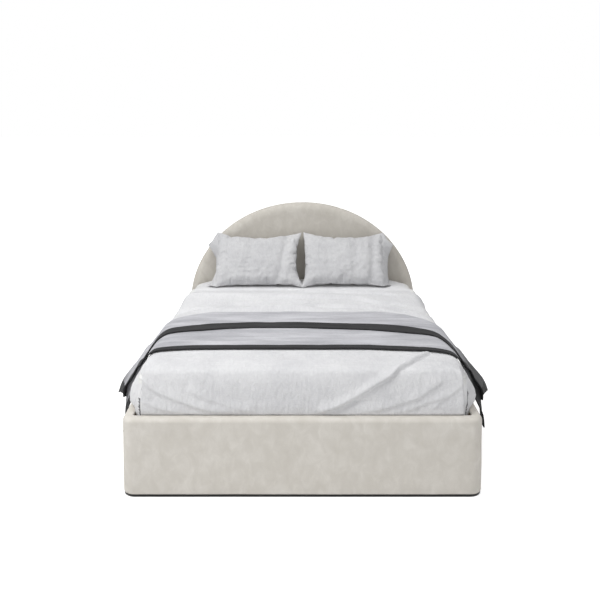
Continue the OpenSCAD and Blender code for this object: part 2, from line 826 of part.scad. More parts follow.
// Points round a rounded rectangle, anticlockwise from the foot end of its right side
function outline(x0, y0, x1, y1, r, nx, ny, nc) = concat(
    [for (i = [0:ny - 1]) [x1, lerp(y0 + r, y1 - r, i / ny)]],
    [for (i = [0:nc - 1]) [x1 - r, y1 - r] + r * [cos(90 * i / nc), sin(90 * i / nc)]],
    [for (i = [0:nx - 1]) [lerp(x1 - r, x0 + r, i / nx), y1]],
    [for (i = [0:nc - 1]) [x0 + r, y1 - r] + r * [-sin(90 * i / nc), cos(90 * i / nc)]],
    [for (i = [0:ny - 1]) [x0, lerp(y1 - r, y0 + r, i / ny)]],
    [for (i = [0:nc - 1]) [x0 + r, y0 + r] + r * [-cos(90 * i / nc), -sin(90 * i / nc)]],
    [for (i = [0:nx - 1]) [lerp(x0 + r, x1 - r, i / nx), y0]],
    [for (i = [0:nc - 1]) [x1 - r, y0 + r] + r * [sin(90 * i / nc), -cos(90 * i / nc)]]);

duvet_x = mattress_x + duvet_hang;
duvet_foot_y = mattress_foot_y - duvet_hang;
duvet_head_y = head_y - duvet_head_gap;
duvet_under = sheet_top + cloth_fit;
duvet_corner_r = 70;
duvet_hem = rail_top + hem_gap;

// Height of the hem: level along the rails, drawn up to the mattress's top near the pillows
hem_rise_start = 300;
hem_rise_l = 220;
hem_rise_y = duvet_head_y - hem_rise_start;
function hem_z(y) = lerp(duvet_hem, duvet_under, smooth((y - hem_rise_y) / hem_rise_l));
// Folds that run slantwise down the hanging part, deepest at the hem
function pleat(p, f) = 6 * (1 - f) * (1 + sin(0.62 * (p[0] + p[1]) + 150 * f));
// A soft trough across the duvet between the throw and the pillows
trough_gap = 60;
function trough(p, depth) = p[1] > throw_back_y + trough_gap ? depth : 0;

function duvet_ring(e, f, top, depth, folds) =
    [for (p = outline(e - duvet_x, duvet_foot_y + e, duvet_x - e, duvet_head_y - e,
            max(20, duvet_corner_r - e), 12, 14, 4))
        let(z = lerp(hem_z(p[1]), top, f) - trough(p, depth), d = folds ? pleat(p, f) : 0,
            in_x = abs(p[0]) > mattress_x ? sign(p[0]) * d : 0,
            in_y = p[1] < mattress_foot_y ? -d : 0)
        [p[0] - in_x, p[1] - in_y, z]];

module duvet() {
    inner_e = duvet_hang - sheet_t - cloth_fit;
    mid_y = (duvet_foot_y + duvet_head_y) / 2;
    flat_e = duvet_x * 0.36;
    inner = [[flat_e, 1], [inner_e, 1], [inner_e, 0]];
    // Each outer ring is its inset, its share of the height and the depth of the trough there
    outer = [[8, 0, 0], [0, 0.15, 0], [1, 0.45, 0], [8, 0.72, 0], [22, 0.9, 0], [45, 0.975, 0],
        [80, 1, 0], [0.5 * flat_e, 1, 9], [0.7 * flat_e, 1, 2], [flat_e, 1, 7]];
    color("white") loft(
        concat([for (r = inner) duvet_ring(r[0], r[1], duvet_under, 0, false)],
            [for (r = outer) duvet_ring(r[0], r[1], duvet_top, r[2], true)]),
        [0, mid_y, duvet_under], [0, mid_y, duvet_top]);
}

// Pillows lean on the headboard's side of the mattress, their long edges across the bed

pillow_lean = 47;
pillow_edge = 2;
pillow_gap = 8;
pillow_setback = 365;
pillow_foot_y = head_y - pillow_setback;

// Outline of a pillow in shares of its half sizes: sides drawn in, corners full
function pillow_outline(n) = [for (i = [0:n - 1])
    let(a = 360 * i / n, m = max(abs(cos(a)), abs(sin(a))), x = cos(a) / m, y = sin(a) / m)
    [x * (1 - 0.055 * (1 - y * y)), y * (1 - 0.055 * (1 - x * x)), x, y]];
function crown(x, y) = sqrt(max(0, (1 - pow(abs(x), 2.6)) * (1 - pow(abs(y), 2.6)))) * (1 - 0.14 * y);
// A pillow's point, leaned back from its foot edge and flattened where it rests on the sheet
function leaned(p) = let(y = p[1] + pillow_h / 2, c = cos(pillow_lean), n = sin(pillow_lean))
    [p[0], y * c - p[2] * n, max(0, y * n + p[2] * c + pillow_edge)];
function pillow_ring(scale, side) = [for (p = pillow_outline(48))
    leaned([p[0] * scale * pillow_w / 2, p[1] * scale * pillow_h / 2,
        side * (pillow_edge / 2 + pillow_t / 2 * crown(p[2] * scale, p[3] * scale))])];

module pillow(s) {
    steps = [0.3, 0.55, 0.74, 0.87, 0.95, 0.985, 1];
    peak = pillow_edge / 2 + pillow_t / 2;
    color("gainsboro")
        translate([s * (pillow_w + pillow_gap) / 2, pillow_foot_y, sheet_top + cloth_fit]) loft(
            concat([for (k = steps) pillow_ring(k, -1)],
                [for (i = [len(steps) - 1:-1:0]) pillow_ring(steps[i], 1)]),
            leaned([0, 0, -peak]), leaned([0, 0, peak]));
}

// Throw: one cloth folded lengthwise, its back edge a fold and its upper layer the narrower one

throw_front_y = mattress_foot_y + throw_front;
throw_back_y = throw_front_y + throw_w;
throw_upper_y = throw_back_y - throw_upper_w;
layer_gap = 1;
wave_h = 9;

// Underside of the lower layer from the bed's centre line to the hem, as [x, z]
function throw_path() = let(top = duvet_top + cloth_fit) [
    [0, top], [150, top], [300, top], [450, top], [600, top], [duvet_x - 72, top],
    [duvet_x - 35, top - 4], [duvet_x - 8, top - 27], [duvet_x + 6, top - 70],
    [duvet_x + 14, rail_top + 80], [outer_x + 22, rail_top + 5], [outer_x + 44, rail_top - 60],
    [outer_x + 55, lerp(rail_top, throw_hem, 0.6)], [outer_x + 54, throw_hem]];

// Share of the hang below the duvet's shoulder, 0 on the bed and 1 at the hem
hang_top = duvet_top - 90;
function hang(z) = pow(min(1, max(0, (hang_top - z) / (hang_top - throw_hem))), 1.2);

// How far a point of the throw swings to the foot. The front edge swings less than the fold does.
function swing(x, y) = throw_swing * pow(min(1, abs(x) / duvet_x), 4)
    * lerp(0.3, 1, min(1, (y - throw_front_y) / (throw_upper_y - throw_front_y)));

// One point of the throw: path station k, side s, place y along the bed, height o over the path
function throw_point(path, k, s, y, o, upper) =
    let(n = len(path), a = path[max(0, k - 1)], b = path[min(n - 1, k + 1)], d = (b - a) / norm(b - a),
        h = hang(path[k][1]), t = min(1, max(0, (y - throw_upper_y) / throw_upper_w)),
        flare = throw_flare * h * (upper ? lerp(0.36, 1, sin(90 * t)) : smooth(t)),
        wave = upper ? 0 : wave_h * h * sin(0.9 * (y - throw_front_y)) * (1 - t),
        lift = throw_lift * h * (1 - t) * (upper ? 1 : 0.5))
    [s * (path[k][0] - d[1] * o + flare + wave), y - swing(path[k][0], y), path[k][1] + d[0] * o + lift];

// The folded section, anticlockwise seen from the bed's right: y, height and layer
function throw_section() = let(t = throw_t, g = layer_gap, f = throw_front_y, u = throw_upper_y,
        b = throw_back_y, m = (throw_upper_y + throw_back_y) / 2, q = throw_t + layer_gap / 2) [
    [f, 0, false], [lerp(f, u, 0.33), 0, false], [lerp(f, u, 0.67), 0, false], [u, 0, false],
    [lerp(u, m, 0.5), 0, false], [m, 0, false], [b - q, 0, false], [b, q, false],
    [b - q, 2 * t + g, true], [m, 2 * t + g, true], [lerp(u, m, 0.5), 2 * t + g, true],
    [u, 2 * t + g, true], [u, t + g, true], [lerp(u, m, 0.5), t + g, true], [m, t + g, true],
    [b - 2 * t, t + g, true], [b - 2 * t, t, false], [m, t, false], [lerp(u, m, 0.5), t, false],
    [u, t, false], [lerp(f, u, 0.67), t, false], [lerp(f, u, 0.33), t, false], [f, t, false]];

module throw() {
    path = throw_path();
    n = len(path);
    section = throw_section();
    stations = concat([for (k = [n - 1:-1:1]) [k, -1]], [for (k = [0:n - 1]) [k, 1]]);
    rings = [for (st = stations) [for (p = section) throw_point(path, st[0], st[1], p[0], p[1], p[2])]];
    color("slategray") sweep(rings, section);
}

// A closed skin over rings whose end caps are strips between the section's two long runs
module sweep(rings, section) {
    n = len(section);
    k = len(rings);
    points = [for (ring = rings) each ring];
    sides = [for (i = [0:k - 2], j = [0:n - 1])
        let(a = i * n + j, b = i * n + (j + 1) % n)
        each [[a, a + n, b + n], [a, b + n, b]]];
    // Pairs of section points that face each other across the cloth
    pairs = [[0, 22], [1, 21], [2, 20], [3, 19], [4, 18], [5, 17], [6, 16], [7, 16], [7, 15],
        [8, 15], [9, 14], [10, 13], [11, 12]];
    caps = [for (i = [0:len(pairs) - 2])
        let(a = pairs[i][0], b = pairs[i + 1][0], c = pairs[i + 1][1], d = pairs[i][1])
        each concat(a == b ? [] : [[a, b, c]], c == d ? [] : [[a, c, d]])];
    last = (k - 1) * n;
    ends = [for (f = caps) each [[f[0], f[1], f[2]], [last + f[0], last + f[2], last + f[1]]]];
    polyhedron(points, concat(sides, ends));
}

foot_board();
side_board(-1);  // side_board_left
side_board(1);  // side_board_right
head_rail();
corner_block(-1);  // corner_block_left
corner_block(1);  // corner_block_right
foot_upholstery();
side_upholstery(-1);  // side_upholstery_left
side_upholstery(1);  // side_upholstery_right
headboard_panel();
headboard_pad();
headboard_border();
headboard_back();
headboard_bolts();
head_bracket(-1);  // head_bracket_left
head_bracket(1);  // head_bracket_right
glides();
base_lining();
floor_battens();
floor_panel(-1);  // floor_panel_left
floor_panel(1);  // floor_panel_right
ledger(foot_in_y, corner_x - fit);  // foot_ledger
ledger(head_rail_y - ledger_w, inner_x);  // head_ledger
base_plate(-1);  // base_plate_left
base_plate(1);  // base_plate_right
base_pins();
plate_screws();
long_link(-1);  // long_link_left
long_link(1);  // long_link_right
link_studs();
short_link(-1);  // short_link_left
short_link(1);  // short_link_right
strut_tube(-1);  // strut_tube_left
strut_tube(1);  // strut_tube_right
strut_rod(-1);  // strut_rod_left
strut_rod(1);  // strut_rod_right
frame_tube_side(-1);  // frame_tube_left
frame_tube_side(1);  // frame_tube_right
frame_tube_across(mattress_foot_y);  // frame_tube_foot
frame_tube_across(mattress_head_y - tube_s);  // frame_tube_head
frame_tube_across(middle_y);  // frame_tube_middle
frame_tube_centre();
top_plate(-1);  // top_plate_left
top_plate(1);  // top_plate_right
platform_pins();
slats(-1);  // slats_left
slats(1);  // slats_right
slat_holders();
mattress_stop();
lift_strap();
mattress();
fitted_sheet();
duvet();
throw();
pillow(-1);  // pillow_left
pillow(1);  // pillow_right
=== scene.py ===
import math

import bpy
import numpy as np
from mathutils import Matrix, Vector


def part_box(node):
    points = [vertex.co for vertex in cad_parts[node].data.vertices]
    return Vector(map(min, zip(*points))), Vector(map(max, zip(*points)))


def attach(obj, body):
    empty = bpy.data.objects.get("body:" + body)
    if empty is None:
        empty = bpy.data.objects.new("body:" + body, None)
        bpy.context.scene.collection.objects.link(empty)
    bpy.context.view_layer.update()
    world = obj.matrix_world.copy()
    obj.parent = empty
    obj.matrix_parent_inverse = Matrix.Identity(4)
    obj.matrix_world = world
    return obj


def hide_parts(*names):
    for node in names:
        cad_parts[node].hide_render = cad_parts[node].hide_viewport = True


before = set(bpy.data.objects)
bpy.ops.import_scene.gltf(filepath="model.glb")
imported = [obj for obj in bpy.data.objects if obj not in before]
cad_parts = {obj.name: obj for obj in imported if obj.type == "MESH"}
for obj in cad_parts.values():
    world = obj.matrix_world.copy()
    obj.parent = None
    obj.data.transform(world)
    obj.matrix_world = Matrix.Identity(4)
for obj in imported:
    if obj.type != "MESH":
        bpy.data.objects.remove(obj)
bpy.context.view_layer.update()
scene = bpy.context.scene

# Sizes that repeat the solids', in metres

OUTER_X = 0.860
INNER_X = 0.810
RAIL_T = 0.050
RAIL_TOP = 0.380
BASE_BOTTOM = 0.010
CORNER_R = 0.060
FOOT_Y = -1.092
RAIL_HEAD_Y = 1.0117
HEAD_Y = 1.012
PANEL_Y = 1.057
BACK_Y = 1.092
ARCH_SPRING = 0.353
HEADBOARD_TOP = 1.120
SHEET_TOP = 0.552
DUVET_TOP = 0.590
DUVET_FOOT_Y = -1.050
DUVET_HEAD_Y = 0.602
DUVET_HEM = 0.3805


# Number helpers

def smooth(t):
    """A rise from 0 to 1 with gentle ends, level outside them."""
    t = np.clip(t, 0.0, 1.0)
    return t * t * (3 - 2 * t)


def mix(a, b, t):
    return a + (b - a) * t


def value_noise(p, seed=0):
    """Smooth noise from -1 to 1 at points p, with one lattice cell to a unit."""
    base = np.floor(p).astype(np.int64)
    t = p - base
    t = t * t * (3 - 2 * t)
    total = np.zeros(len(p))
    for corner in range(8):
        bits = np.array([corner & 1, (corner >> 1) & 1, (corner >> 2) & 1])
        cell = (base + bits).astype(np.uint32)
        h = cell[:, 0] * np.uint32(73856093) ^ cell[:, 1] * np.uint32(19349663)
        h = h ^ (cell[:, 2] * np.uint32(83492791)) ^ np.uint32((seed * 40503 + 977) % 2**32)
        h = (h ^ (h >> np.uint32(16))) * np.uint32(0x7FEB352D)
        h = (h ^ (h >> np.uint32(15))) * np.uint32(0x846CA68B)
        h = h ^ (h >> np.uint32(16))
        weight = np.prod(np.where(bits == 1, t, 1 - t), axis=1)
        total += (h.astype(float) / 2**31 - 1) * weight
    return total


def fractal(p, size, octaves=3, seed=0):
    """Layered noise over points p. Its largest lumps are size metres, or a size for each axis."""
    q = np.asarray(p, float).reshape(-1, 3) / np.asarray(size, float)
    total = np.zeros(len(q))
    share = 1.0
    for octave in range(octaves):
        total += share * value_noise(q * 2**octave + 13.7 * octave, seed + octave)
        share *= 0.5
    return total.reshape(np.shape(p)[:-1])


def run_along(points):
    """Length from the first point to each."""
    return np.concatenate([[0], np.cumsum(np.linalg.norm(np.diff(points, axis=0), axis=1))])


def spline(points, count):
    """count points, evenly spaced, on a smooth curve through the given points."""
    p = np.asarray(points, float)
    ends = np.vstack([2 * p[0] - p[1], p, 2 * p[-1] - p[-2]])
    dense = []
    for i in range(1, len(ends) - 2):
        t = np.linspace(0, 1, 24, endpoint=False)[:, None]
        a, b, c, d = ends[i - 1], ends[i], ends[i + 1], ends[i + 2]
        dense.append(0.5 * (2 * b + (c - a) * t + (2 * a - 5 * b + 4 * c - d) * t**2
                            + (3 * b - a - 3 * c + d) * t**3))
    dense = np.vstack([*dense, p[-1:]])
    run = run_along(dense)
    at = np.linspace(0, run[-1], count)
    return np.stack([np.interp(at, run, dense[:, k]) for k in range(dense.shape[1])], axis=1)


def grid_normals(grid):
    """Unit normals of a grid of points."""
    n = np.cross(np.gradient(grid, axis=0), np.gradient(grid, axis=1))
    return n / np.maximum(np.linalg.norm(n, axis=2, keepdims=True), 1e-12)


# Mesh helpers

def placed(name, data):
    """A new object in the scene."""
    thing = bpy.data.objects.new(name, data)
    scene.collection.objects.link(thing)
    return thing


def mesh_object(name, points, faces, materials, body, face_material=None):
    """A smooth mesh that rides a body. face_material numbers each face's material."""
    mesh = bpy.data.meshes.new(name)
    mesh.from_pydata([tuple(p) for p in points], [], [tuple(f) for f in faces])
    mesh.validate()
    for m in materials:
        mesh.materials.append(m)
    if face_material is not None:
        mesh.polygons.foreach_set("material_index", np.asarray(face_material, np.int32))
    mesh.polygons.foreach_set("use_smooth", [True] * len(mesh.polygons))
    mesh.update()
    thing = placed(name, mesh)
    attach(thing, body)
    return thing


def grid_faces(nu, nv, wrap_v=False):
    """Quads between the points of an nu by nv grid."""
    i, j = np.meshgrid(np.arange(nu - 1), np.arange(nv if wrap_v else nv - 1), indexing="ij")
    i, j = i.ravel(), j.ravel()
    after = (j + 1) % nv
    return np.stack([i * nv + j, (i + 1) * nv + j, (i + 1) * nv + after, i * nv + after], axis=1)


def skin(name, grid, materials, body, wrap_v=False, flip=False, face_material=None):
    """A smooth skin over a grid of points."""
    faces = grid_faces(grid.shape[0], grid.shape[1], wrap_v)
    if flip:
        faces = faces[:, ::-1]
    return mesh_object(name, grid.reshape(-1, 3), faces, materials, body, face_material)


def thicken(thing, thickness):
    """Gives a skin this thickness, half of it on each side."""
    m = thing.modifiers.new("thickness", "SOLIDIFY")
    m.thickness = thickness
    m.offset = 0.0
    m.use_rim = True


# Materials

def add(tree, kind, inputs=None, **settings):
    """A new shader node. Each input is a value, or an output that it's linked to."""
    node = tree.nodes.new("ShaderNode" + kind)
    for key, value in settings.items():
        setattr(node, key, value)
    for key, value in (inputs or {}).items():
        if isinstance(value, bpy.types.NodeSocket):
            tree.links.new(value, node.inputs[key])
        else:
            node.inputs[key].default_value = value
    return node


def new_material(name):
    m = bpy.data.materials.new(name)
    m.use_nodes = True
    tree = m.node_tree
    return m, tree, tree.nodes["Principled BSDF"]


def linear(rgb):
    """A colour given as it looks on screen, 0 to 255, in the renderer's linear values."""
    c = np.array(rgb, float) / 255
    c = np.where(c <= 0.04045, c / 12.92, ((c + 0.055) / 1.055) ** 2.4)
    return (*c.tolist(), 1.0)


def between(dark, light, share):
    return tuple(mix(np.array(dark), np.array(light), share))


def stretched(tree, scale):
    """Object coordinates, scaled for each axis."""
    place = add(tree, "TexCoord").outputs["Object"]
    return add(tree, "Mapping", {"Vector": place, "Scale": scale}).outputs["Vector"]


def ramp(tree, fac, stops):
    node = add(tree, "ValToRGB", {"Fac": fac})
    elements = node.color_ramp.elements
    while len(elements) < len(stops):
        elements.new(0.5)
    for element, (at, colour) in zip(elements, stops):
        element.position = at
        element.color = colour
    return node.outputs["Color"]


def noise(tree, vector, scale, detail=3.0, roughness=0.5, distortion=0.0):
    return add(tree, "TexNoise", {"Vector": vector, "Scale": scale, "Detail": detail,
                                  "Roughness": roughness, "Distortion": distortion}).outputs["Fac"]


def lumps(tree, per_metre, *shape):
    """Noise with this many lumps to a metre along each axis."""
    return noise(tree, stretched(tree, per_metre), 1.0, *shape)


def blend_colours(tree, kind, fac, a, b):
    node = add(tree, "MixRGB", {"Fac": fac, "Color1": a, "Color2": b}, blend_type=kind)
    return node.outputs["Color"]


def sum_of(tree, *values):
    total = values[0]
    for value in values[1:]:
        total = add(tree, "Math", {0: total, 1: value}, operation="ADD").outputs[0]
    return total


def times(tree, value, by):
    return add(tree, "Math", {0: value, 1: by}, operation="MULTIPLY").outputs[0]


def spread(tree, value, low, high):
    """A value from 0 to 1, spread from low to high."""
    return add(tree, "MapRange", {"Value": value, "To Min": low, "To Max": high}).outputs[0]


def set_shader(tree, bsdf, colour, roughness, height, depth, strength, **values):
    """Links a surface's colour, roughness and relief, and sets its other inputs."""
    tree.links.new(colour, bsdf.inputs["Base Color"])
    tree.links.new(roughness, bsdf.inputs["Roughness"])
    relief = add(tree, "Bump", {"Height": height, "Distance": depth, "Strength": strength})
    tree.links.new(relief.outputs["Normal"], bsdf.inputs["Normal"])
    for key, value in values.items():
        bsdf.inputs[key.replace("_", " ")].default_value = value


def threads(tree, pitch):
    """Height of a plain weave: fine ribs along each axis, broken up by noise."""
    place = stretched(tree, (1, 1, 1))
    # At scale 1 the texture has a wave in each tau / 20 of length, and a wave here spans two threads
    scale = 1 / pitch / 20 * math.tau / 2
    wave = {"Vector": place, "Scale": scale, "Distortion": 1.5, "Detail": 1.0, "Detail Scale": 1.0}
    ribs = [add(tree, "TexWave", wave, wave_type="BANDS", bands_direction=axis).outputs["Fac"]
            for axis in "XYZ"]
    return times(tree, sum_of(tree, *ribs), 1 / 3)


def velvet(name, light, dark, sheen):
    """Cut-pile velvet: small brushed flecks on a cloudy ground, a soft glow at the edges, and a fine nap."""
    m, tree, bsdf = new_material(name)
    light, dark = linear(light), linear(dark)
    place = stretched(tree, (1, 1, 0.8))
    cloud = noise(tree, place, 5.5, 3.0, 0.55, 0.4)
    flecks = lumps(tree, (19, 19, 14), 6.0, 0.60, 0.5)
    patches = sum_of(tree, times(tree, cloud, 0.30), times(tree, flecks, 0.70))
    base = ramp(tree, patches, [(0.30, dark), (0.50, between(dark, light, 0.34)),
                                (0.60, between(dark, light, 0.62)), (0.72, light)])
    nap = lumps(tree, (900, 900, 500), 2.0)
    base = blend_colours(tree, "MULTIPLY", 0.10, base, nap)
    height = sum_of(tree, times(tree, nap, 0.5), times(tree, noise(tree, place, 46.0, 3.0), 1.6))
    set_shader(tree, bsdf, base, spread(tree, patches, 0.92, 0.74), height, 0.0009, 0.5, Sheen_Weight=sheen,
               Sheen_Roughness=0.30, Sheen_Tint=(1.0, 0.98, 0.95, 1.0), Specular_IOR_Level=0.25)
    return m


def cotton(name, light, dark, crinkle, crinkle_depth, pitch=0.0011, sheen=0.12):
    """Woven cotton: crinkles as many to a metre as crinkle says, a plain weave, and faint uneven tone."""
    m, tree, bsdf = new_material(name)
    tone = lumps(tree, (5, 5, 5), 4.0, 0.6)
    fine = lumps(tree, crinkle, 3.0, 0.6, 0.8)
    base = ramp(tree, sum_of(tree, times(tree, tone, 0.6), times(tree, fine, 0.4)),
                [(0.36, linear(dark)), (0.62, linear(light))])
    weave = threads(tree, pitch)
    base = blend_colours(tree, "MULTIPLY", 0.08, base, weave)
    height = sum_of(tree, fine, times(tree, weave, 0.12))
    set_shader(tree, bsdf, base, spread(tree, tone, 0.82, 0.94), height, crinkle_depth, 0.8,
               Sheen_Weight=sheen, Sheen_Roughness=0.5, Specular_IOR_Level=0.25)
    return m


def wool(name, light, dark, tip, sheen):
    """Brushed weave that turns into the colour tip between two heights over the floor."""
    m, tree, bsdf = new_material(name)
    fibre = lumps(tree, (60, 420, 420), 4.0, 0.65, 0.5)
    tone = lumps(tree, (3, 17, 14), 3.0, 0.55)
    blotch = sum_of(tree, times(tree, fibre, 0.40), times(tree, tone, 0.60))
    base = ramp(tree, blotch, [(0.34, linear(dark)), (0.64, linear(light))])
    axes = add(tree, "SeparateXYZ", {"Vector": stretched(tree, (1, 1, 1))})
    # It darkens sooner at the bed's right side: this earlier darkening is painted shade on the hanging end
    # that is turned from the light
    low = sum_of(tree, axes.outputs["Z"], times(tree, axes.outputs["X"], -0.10), times(tree, tone, 0.05))
    share = add(tree, "MapRange", {"Value": low, "From Min": 0.32, "From Max": 0.53, "To Min": 1.0,
                                   "To Max": 0.0}, interpolation_type="SMOOTHSTEP").outputs[0]
    base = blend_colours(tree, "MIX", share, base, linear(tip))
    height = sum_of(tree, fibre, times(tree, threads(tree, 0.0024), 0.5))
    set_shader(tree, bsdf, base, spread(tree, fibre, 0.86, 0.97), height, 0.0009, 0.7, Sheen_Weight=sheen,
               Sheen_Roughness=0.45, Specular_IOR_Level=0.15)
    return m


def wood(name, light, dark, along, rough, rings=1.0):
    """Wood with its grain along one axis."""
    m, tree, bsdf = new_material(name)
    light, dark = linear(light), linear(dark)
    scale = [34 * rings] * 3
    scale["XYZ".index(along)] = 1.6
    place = stretched(tree, tuple(scale))
    grain = noise(tree, place, 1.0, 5.0, 0.6, 0.9)
    close = add(tree, "Mapping", {"Vector": place, "Scale": (9, 9, 9)}).outputs["Vector"]
    pores = noise(tree, close, 1.0, 2.0)
    base = ramp(tree, grain, [(0.34, dark), (0.5, between(dark, light, 0.6)), (0.66, light)])
    base = blend_colours(tree, "MULTIPLY", 0.16, base, pores)
    height = sum_of(tree, grain, times(tree, pores, 0.4))
    set_shader(tree, bsdf, base, spread(tree, grain, rough - 0.08, rough + 0.12), height, 0.0004, 0.6)
    return m


def hard(name, light, dark, metal, rough, grain=220.0, depth=0.00012, coat=0.0):
    """Painted, plated or moulded surface with a fine texture and faint smudges."""
    m, tree, bsdf = new_material(name)
    smudge = lumps(tree, (9, 9, 9), 4.0, 0.6)
    base = ramp(tree, smudge, [(0.35, linear(dark)), (0.65, linear(light))])
    height = lumps(tree, (grain, grain, grain), 2.0)
    set_shader(tree, bsdf, base, spread(tree, smudge, rough - 0.06, rough + 0.08), height, depth, 0.6,
               Metallic=metal, Coat_Weight=coat, Coat_Roughness=0.25)
    return m


CHARCOAL = (56, 56, 57)
CHARCOAL_DARK = (40, 40, 41)
BOARD_LIGHT, BOARD_DARK = (214, 190, 152), (190, 160, 118)
TIMBER_LIGHT, TIMBER_DARK = (226, 202, 164), (200, 170, 126)

VELVET = velvet("velvet", (232, 228, 221), (212, 207, 198), 0.18)
# The base's velvet in darker colours: painted shade for the headboard, which takes less light than the base
HEAD_VELVET = velvet("headboard_velvet", (212, 208, 200), (192, 187, 178), 0.10)
LINING = cotton("lining", (46, 46, 48), (34, 34, 36), (160, 160, 160), 0.0004, 0.002, 0.05)
DUVET = cotton("duvet_cloth", (229, 229, 230), (215, 215, 217), (70, 26, 40), 0.0050)
# Dark grey cloth for the faces along the duvet's slits: painted shade that stands in for the slits' shadow
DUVET_SHADE = cotton("painted_shade_in_the_slits", (112, 112, 114), (84, 84, 86), (70, 26, 40), 0.0050)
SHEET = cotton("sheet_cloth", (236, 236, 237), (226, 226, 228), (18, 18, 18), 0.0012)
PILLOW = cotton("pillow_cloth", (210, 210, 211), (195, 195, 197), (60, 34, 30), 0.0070)
TICKING = cotton("ticking", (236, 236, 234), (224, 224, 222), (30, 30, 30), 0.0030)
THROW = wool("throw_grey", (204, 204, 208), (160, 160, 165), CHARCOAL, 0.10)
THROW_EDGE = wool("throw_border", CHARCOAL, CHARCOAL_DARK, CHARCOAL_DARK, 0.04)
WEBBING = cotton("webbing", (58, 58, 60), (42, 42, 44), (300, 300, 300), 0.0006, 0.0016, 0.05)
BOARD = wood("board", BOARD_LIGHT, BOARD_DARK, "Y", 0.6)
BOARD_ACROSS = wood("board_across", BOARD_LIGHT, BOARD_DARK, "X", 0.6)
TIMBER = wood("timber", TIMBER_LIGHT, TIMBER_DARK, "X", 0.65)
TIMBER_UP = wood("timber_up", TIMBER_LIGHT, TIMBER_DARK, "Z", 0.65)
FLOOR_BOARD = hard("floor_board", (232, 229, 222), (222, 218, 210), 0.0, 0.55, 500.0)
SLAT = wood("slat", (226, 198, 152), (205, 172, 122), "X", 0.32, 0.7)
STEEL = hard("frame_steel", (62, 63, 66), (50, 51, 54), 0.0, 0.5, 900.0, 0.0002)
ZINC = hard("zinc", (205, 207, 210), (178, 181, 186), 1.0, 0.36, 160.0)
ROD = hard("rod", (225, 226, 228), (210, 211, 214), 1.0, 0.12, 60.0, 0.00002)
STRUT_BLACK = hard("strut_black", (34, 34, 36), (24, 24, 26), 0.0, 0.28, 300.0, 0.00003, 0.5)
PLASTIC = hard("plastic", (52, 52, 54), (42, 42, 44), 0.0, 0.48, 700.0, 0.0001)


def pair(name):
    return [name + "_left", name + "_right"]


# The solids that show as they are
SOLIDS = {
    BOARD: pair("side_board"),
    BOARD_ACROSS: ["foot_board", "head_rail", "headboard_panel"],
    TIMBER: ["floor_battens", "foot_ledger", "head_ledger"],
    TIMBER_UP: pair("corner_block"),
    FLOOR_BOARD: pair("floor_panel"),
    SLAT: pair("slats"),
    STEEL: [*pair("frame_tube"), "frame_tube_foot", "frame_tube_head", "frame_tube_middle",
            "frame_tube_centre", *pair("top_plate"), *pair("base_plate"), *pair("long_link"),
            *pair("short_link"), "mattress_stop"],
    ZINC: ["headboard_bolts", *pair("head_bracket"), "base_pins", "plate_screws", "link_studs",
           "platform_pins"],
    ROD: pair("strut_rod"),
    STRUT_BLACK: pair("strut_tube"),
    PLASTIC: ["glides", "slat_holders"],
}

for finish, names in SOLIDS.items():
    for name in names:
        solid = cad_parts[name]
        solid.data.materials.clear()
        solid.data.materials.append(finish)


# Camera, floor and light

scene.view_settings.view_transform = "Standard"

camera = placed("camera", bpy.data.cameras.new("camera"))
camera.data.lens = 42.391
camera.data.shift_x = -0.00407
camera.data.shift_y = -0.2375
camera.location = (0.0, -4.3251, 1.8427)
camera.rotation_euler = (math.radians(90 - 4.0), 0, 0)
scene.camera = camera


def area_light(name, place, target, size, power):
    light = placed(name, bpy.data.lights.new(name, "AREA"))
    light.data.shape = "RECTANGLE"
    light.data.size, light.data.size_y = size
    light.data.energy = power
    light.location = place
    light.rotation_euler = (Vector(target) - Vector(place)).to_track_quat("-Z", "Y").to_euler()


# Name, place, the point it faces, size and power
area_light("key", (-3.3, -2.2, 5.0), (0, 0, 0.4), (2.2, 2.2), 172)
area_light("front", (0.2, -5.8, 2.2), (0, -0.6, 0.3), (3.6, 2.4), 57)
area_light("top", (-0.2, 0.2, 4.6), (0, 0, 0.4), (3.0, 3.0), 60)
area_light("left", (-4.8, -0.8, 1.7), (0, 0, 0.4), (2.4, 2.0), 9)
area_light("right", (4.6, -0.6, 2.2), (0, 0, 0.4), (2.4, 2.4), 22)
area_light("back", (-0.6, 5.0, 3.0), (0, 0.6, 0.5), (2.8, 2.4), 16)


def seen_directly(tree):
    """1 where the camera, a gloss or a clear surface looks straight at the surroundings."""
    path = add(tree, "LightPath")
    total = sum_of(tree, path.outputs["Is Camera Ray"], path.outputs["Is Glossy Ray"],
                   path.outputs["Is Transmission Ray"])
    return add(tree, "Math", {0: total, 1: 1.0}, operation="MINIMUM").outputs[0]


def make_surroundings():
    """A white studio that lights the bed softly."""
    world = bpy.data.worlds.new("studio")
    world.use_nodes = True
    scene.world = world
    tree = world.node_tree
    tree.nodes.clear()
    ambient = add(tree, "Background", {"Color": (0.98, 0.985, 1.0, 1.0), "Strength": 0.33})
    white = add(tree, "Background", {"Color": (1.0, 1.0, 1.0, 1.0), "Strength": 1.0})
    chosen = add(tree, "MixShader", {0: seen_directly(tree), 1: ambient.outputs[0], 2: white.outputs[0]})
    add(tree, "OutputWorld", {"Surface": chosen.outputs[0]})


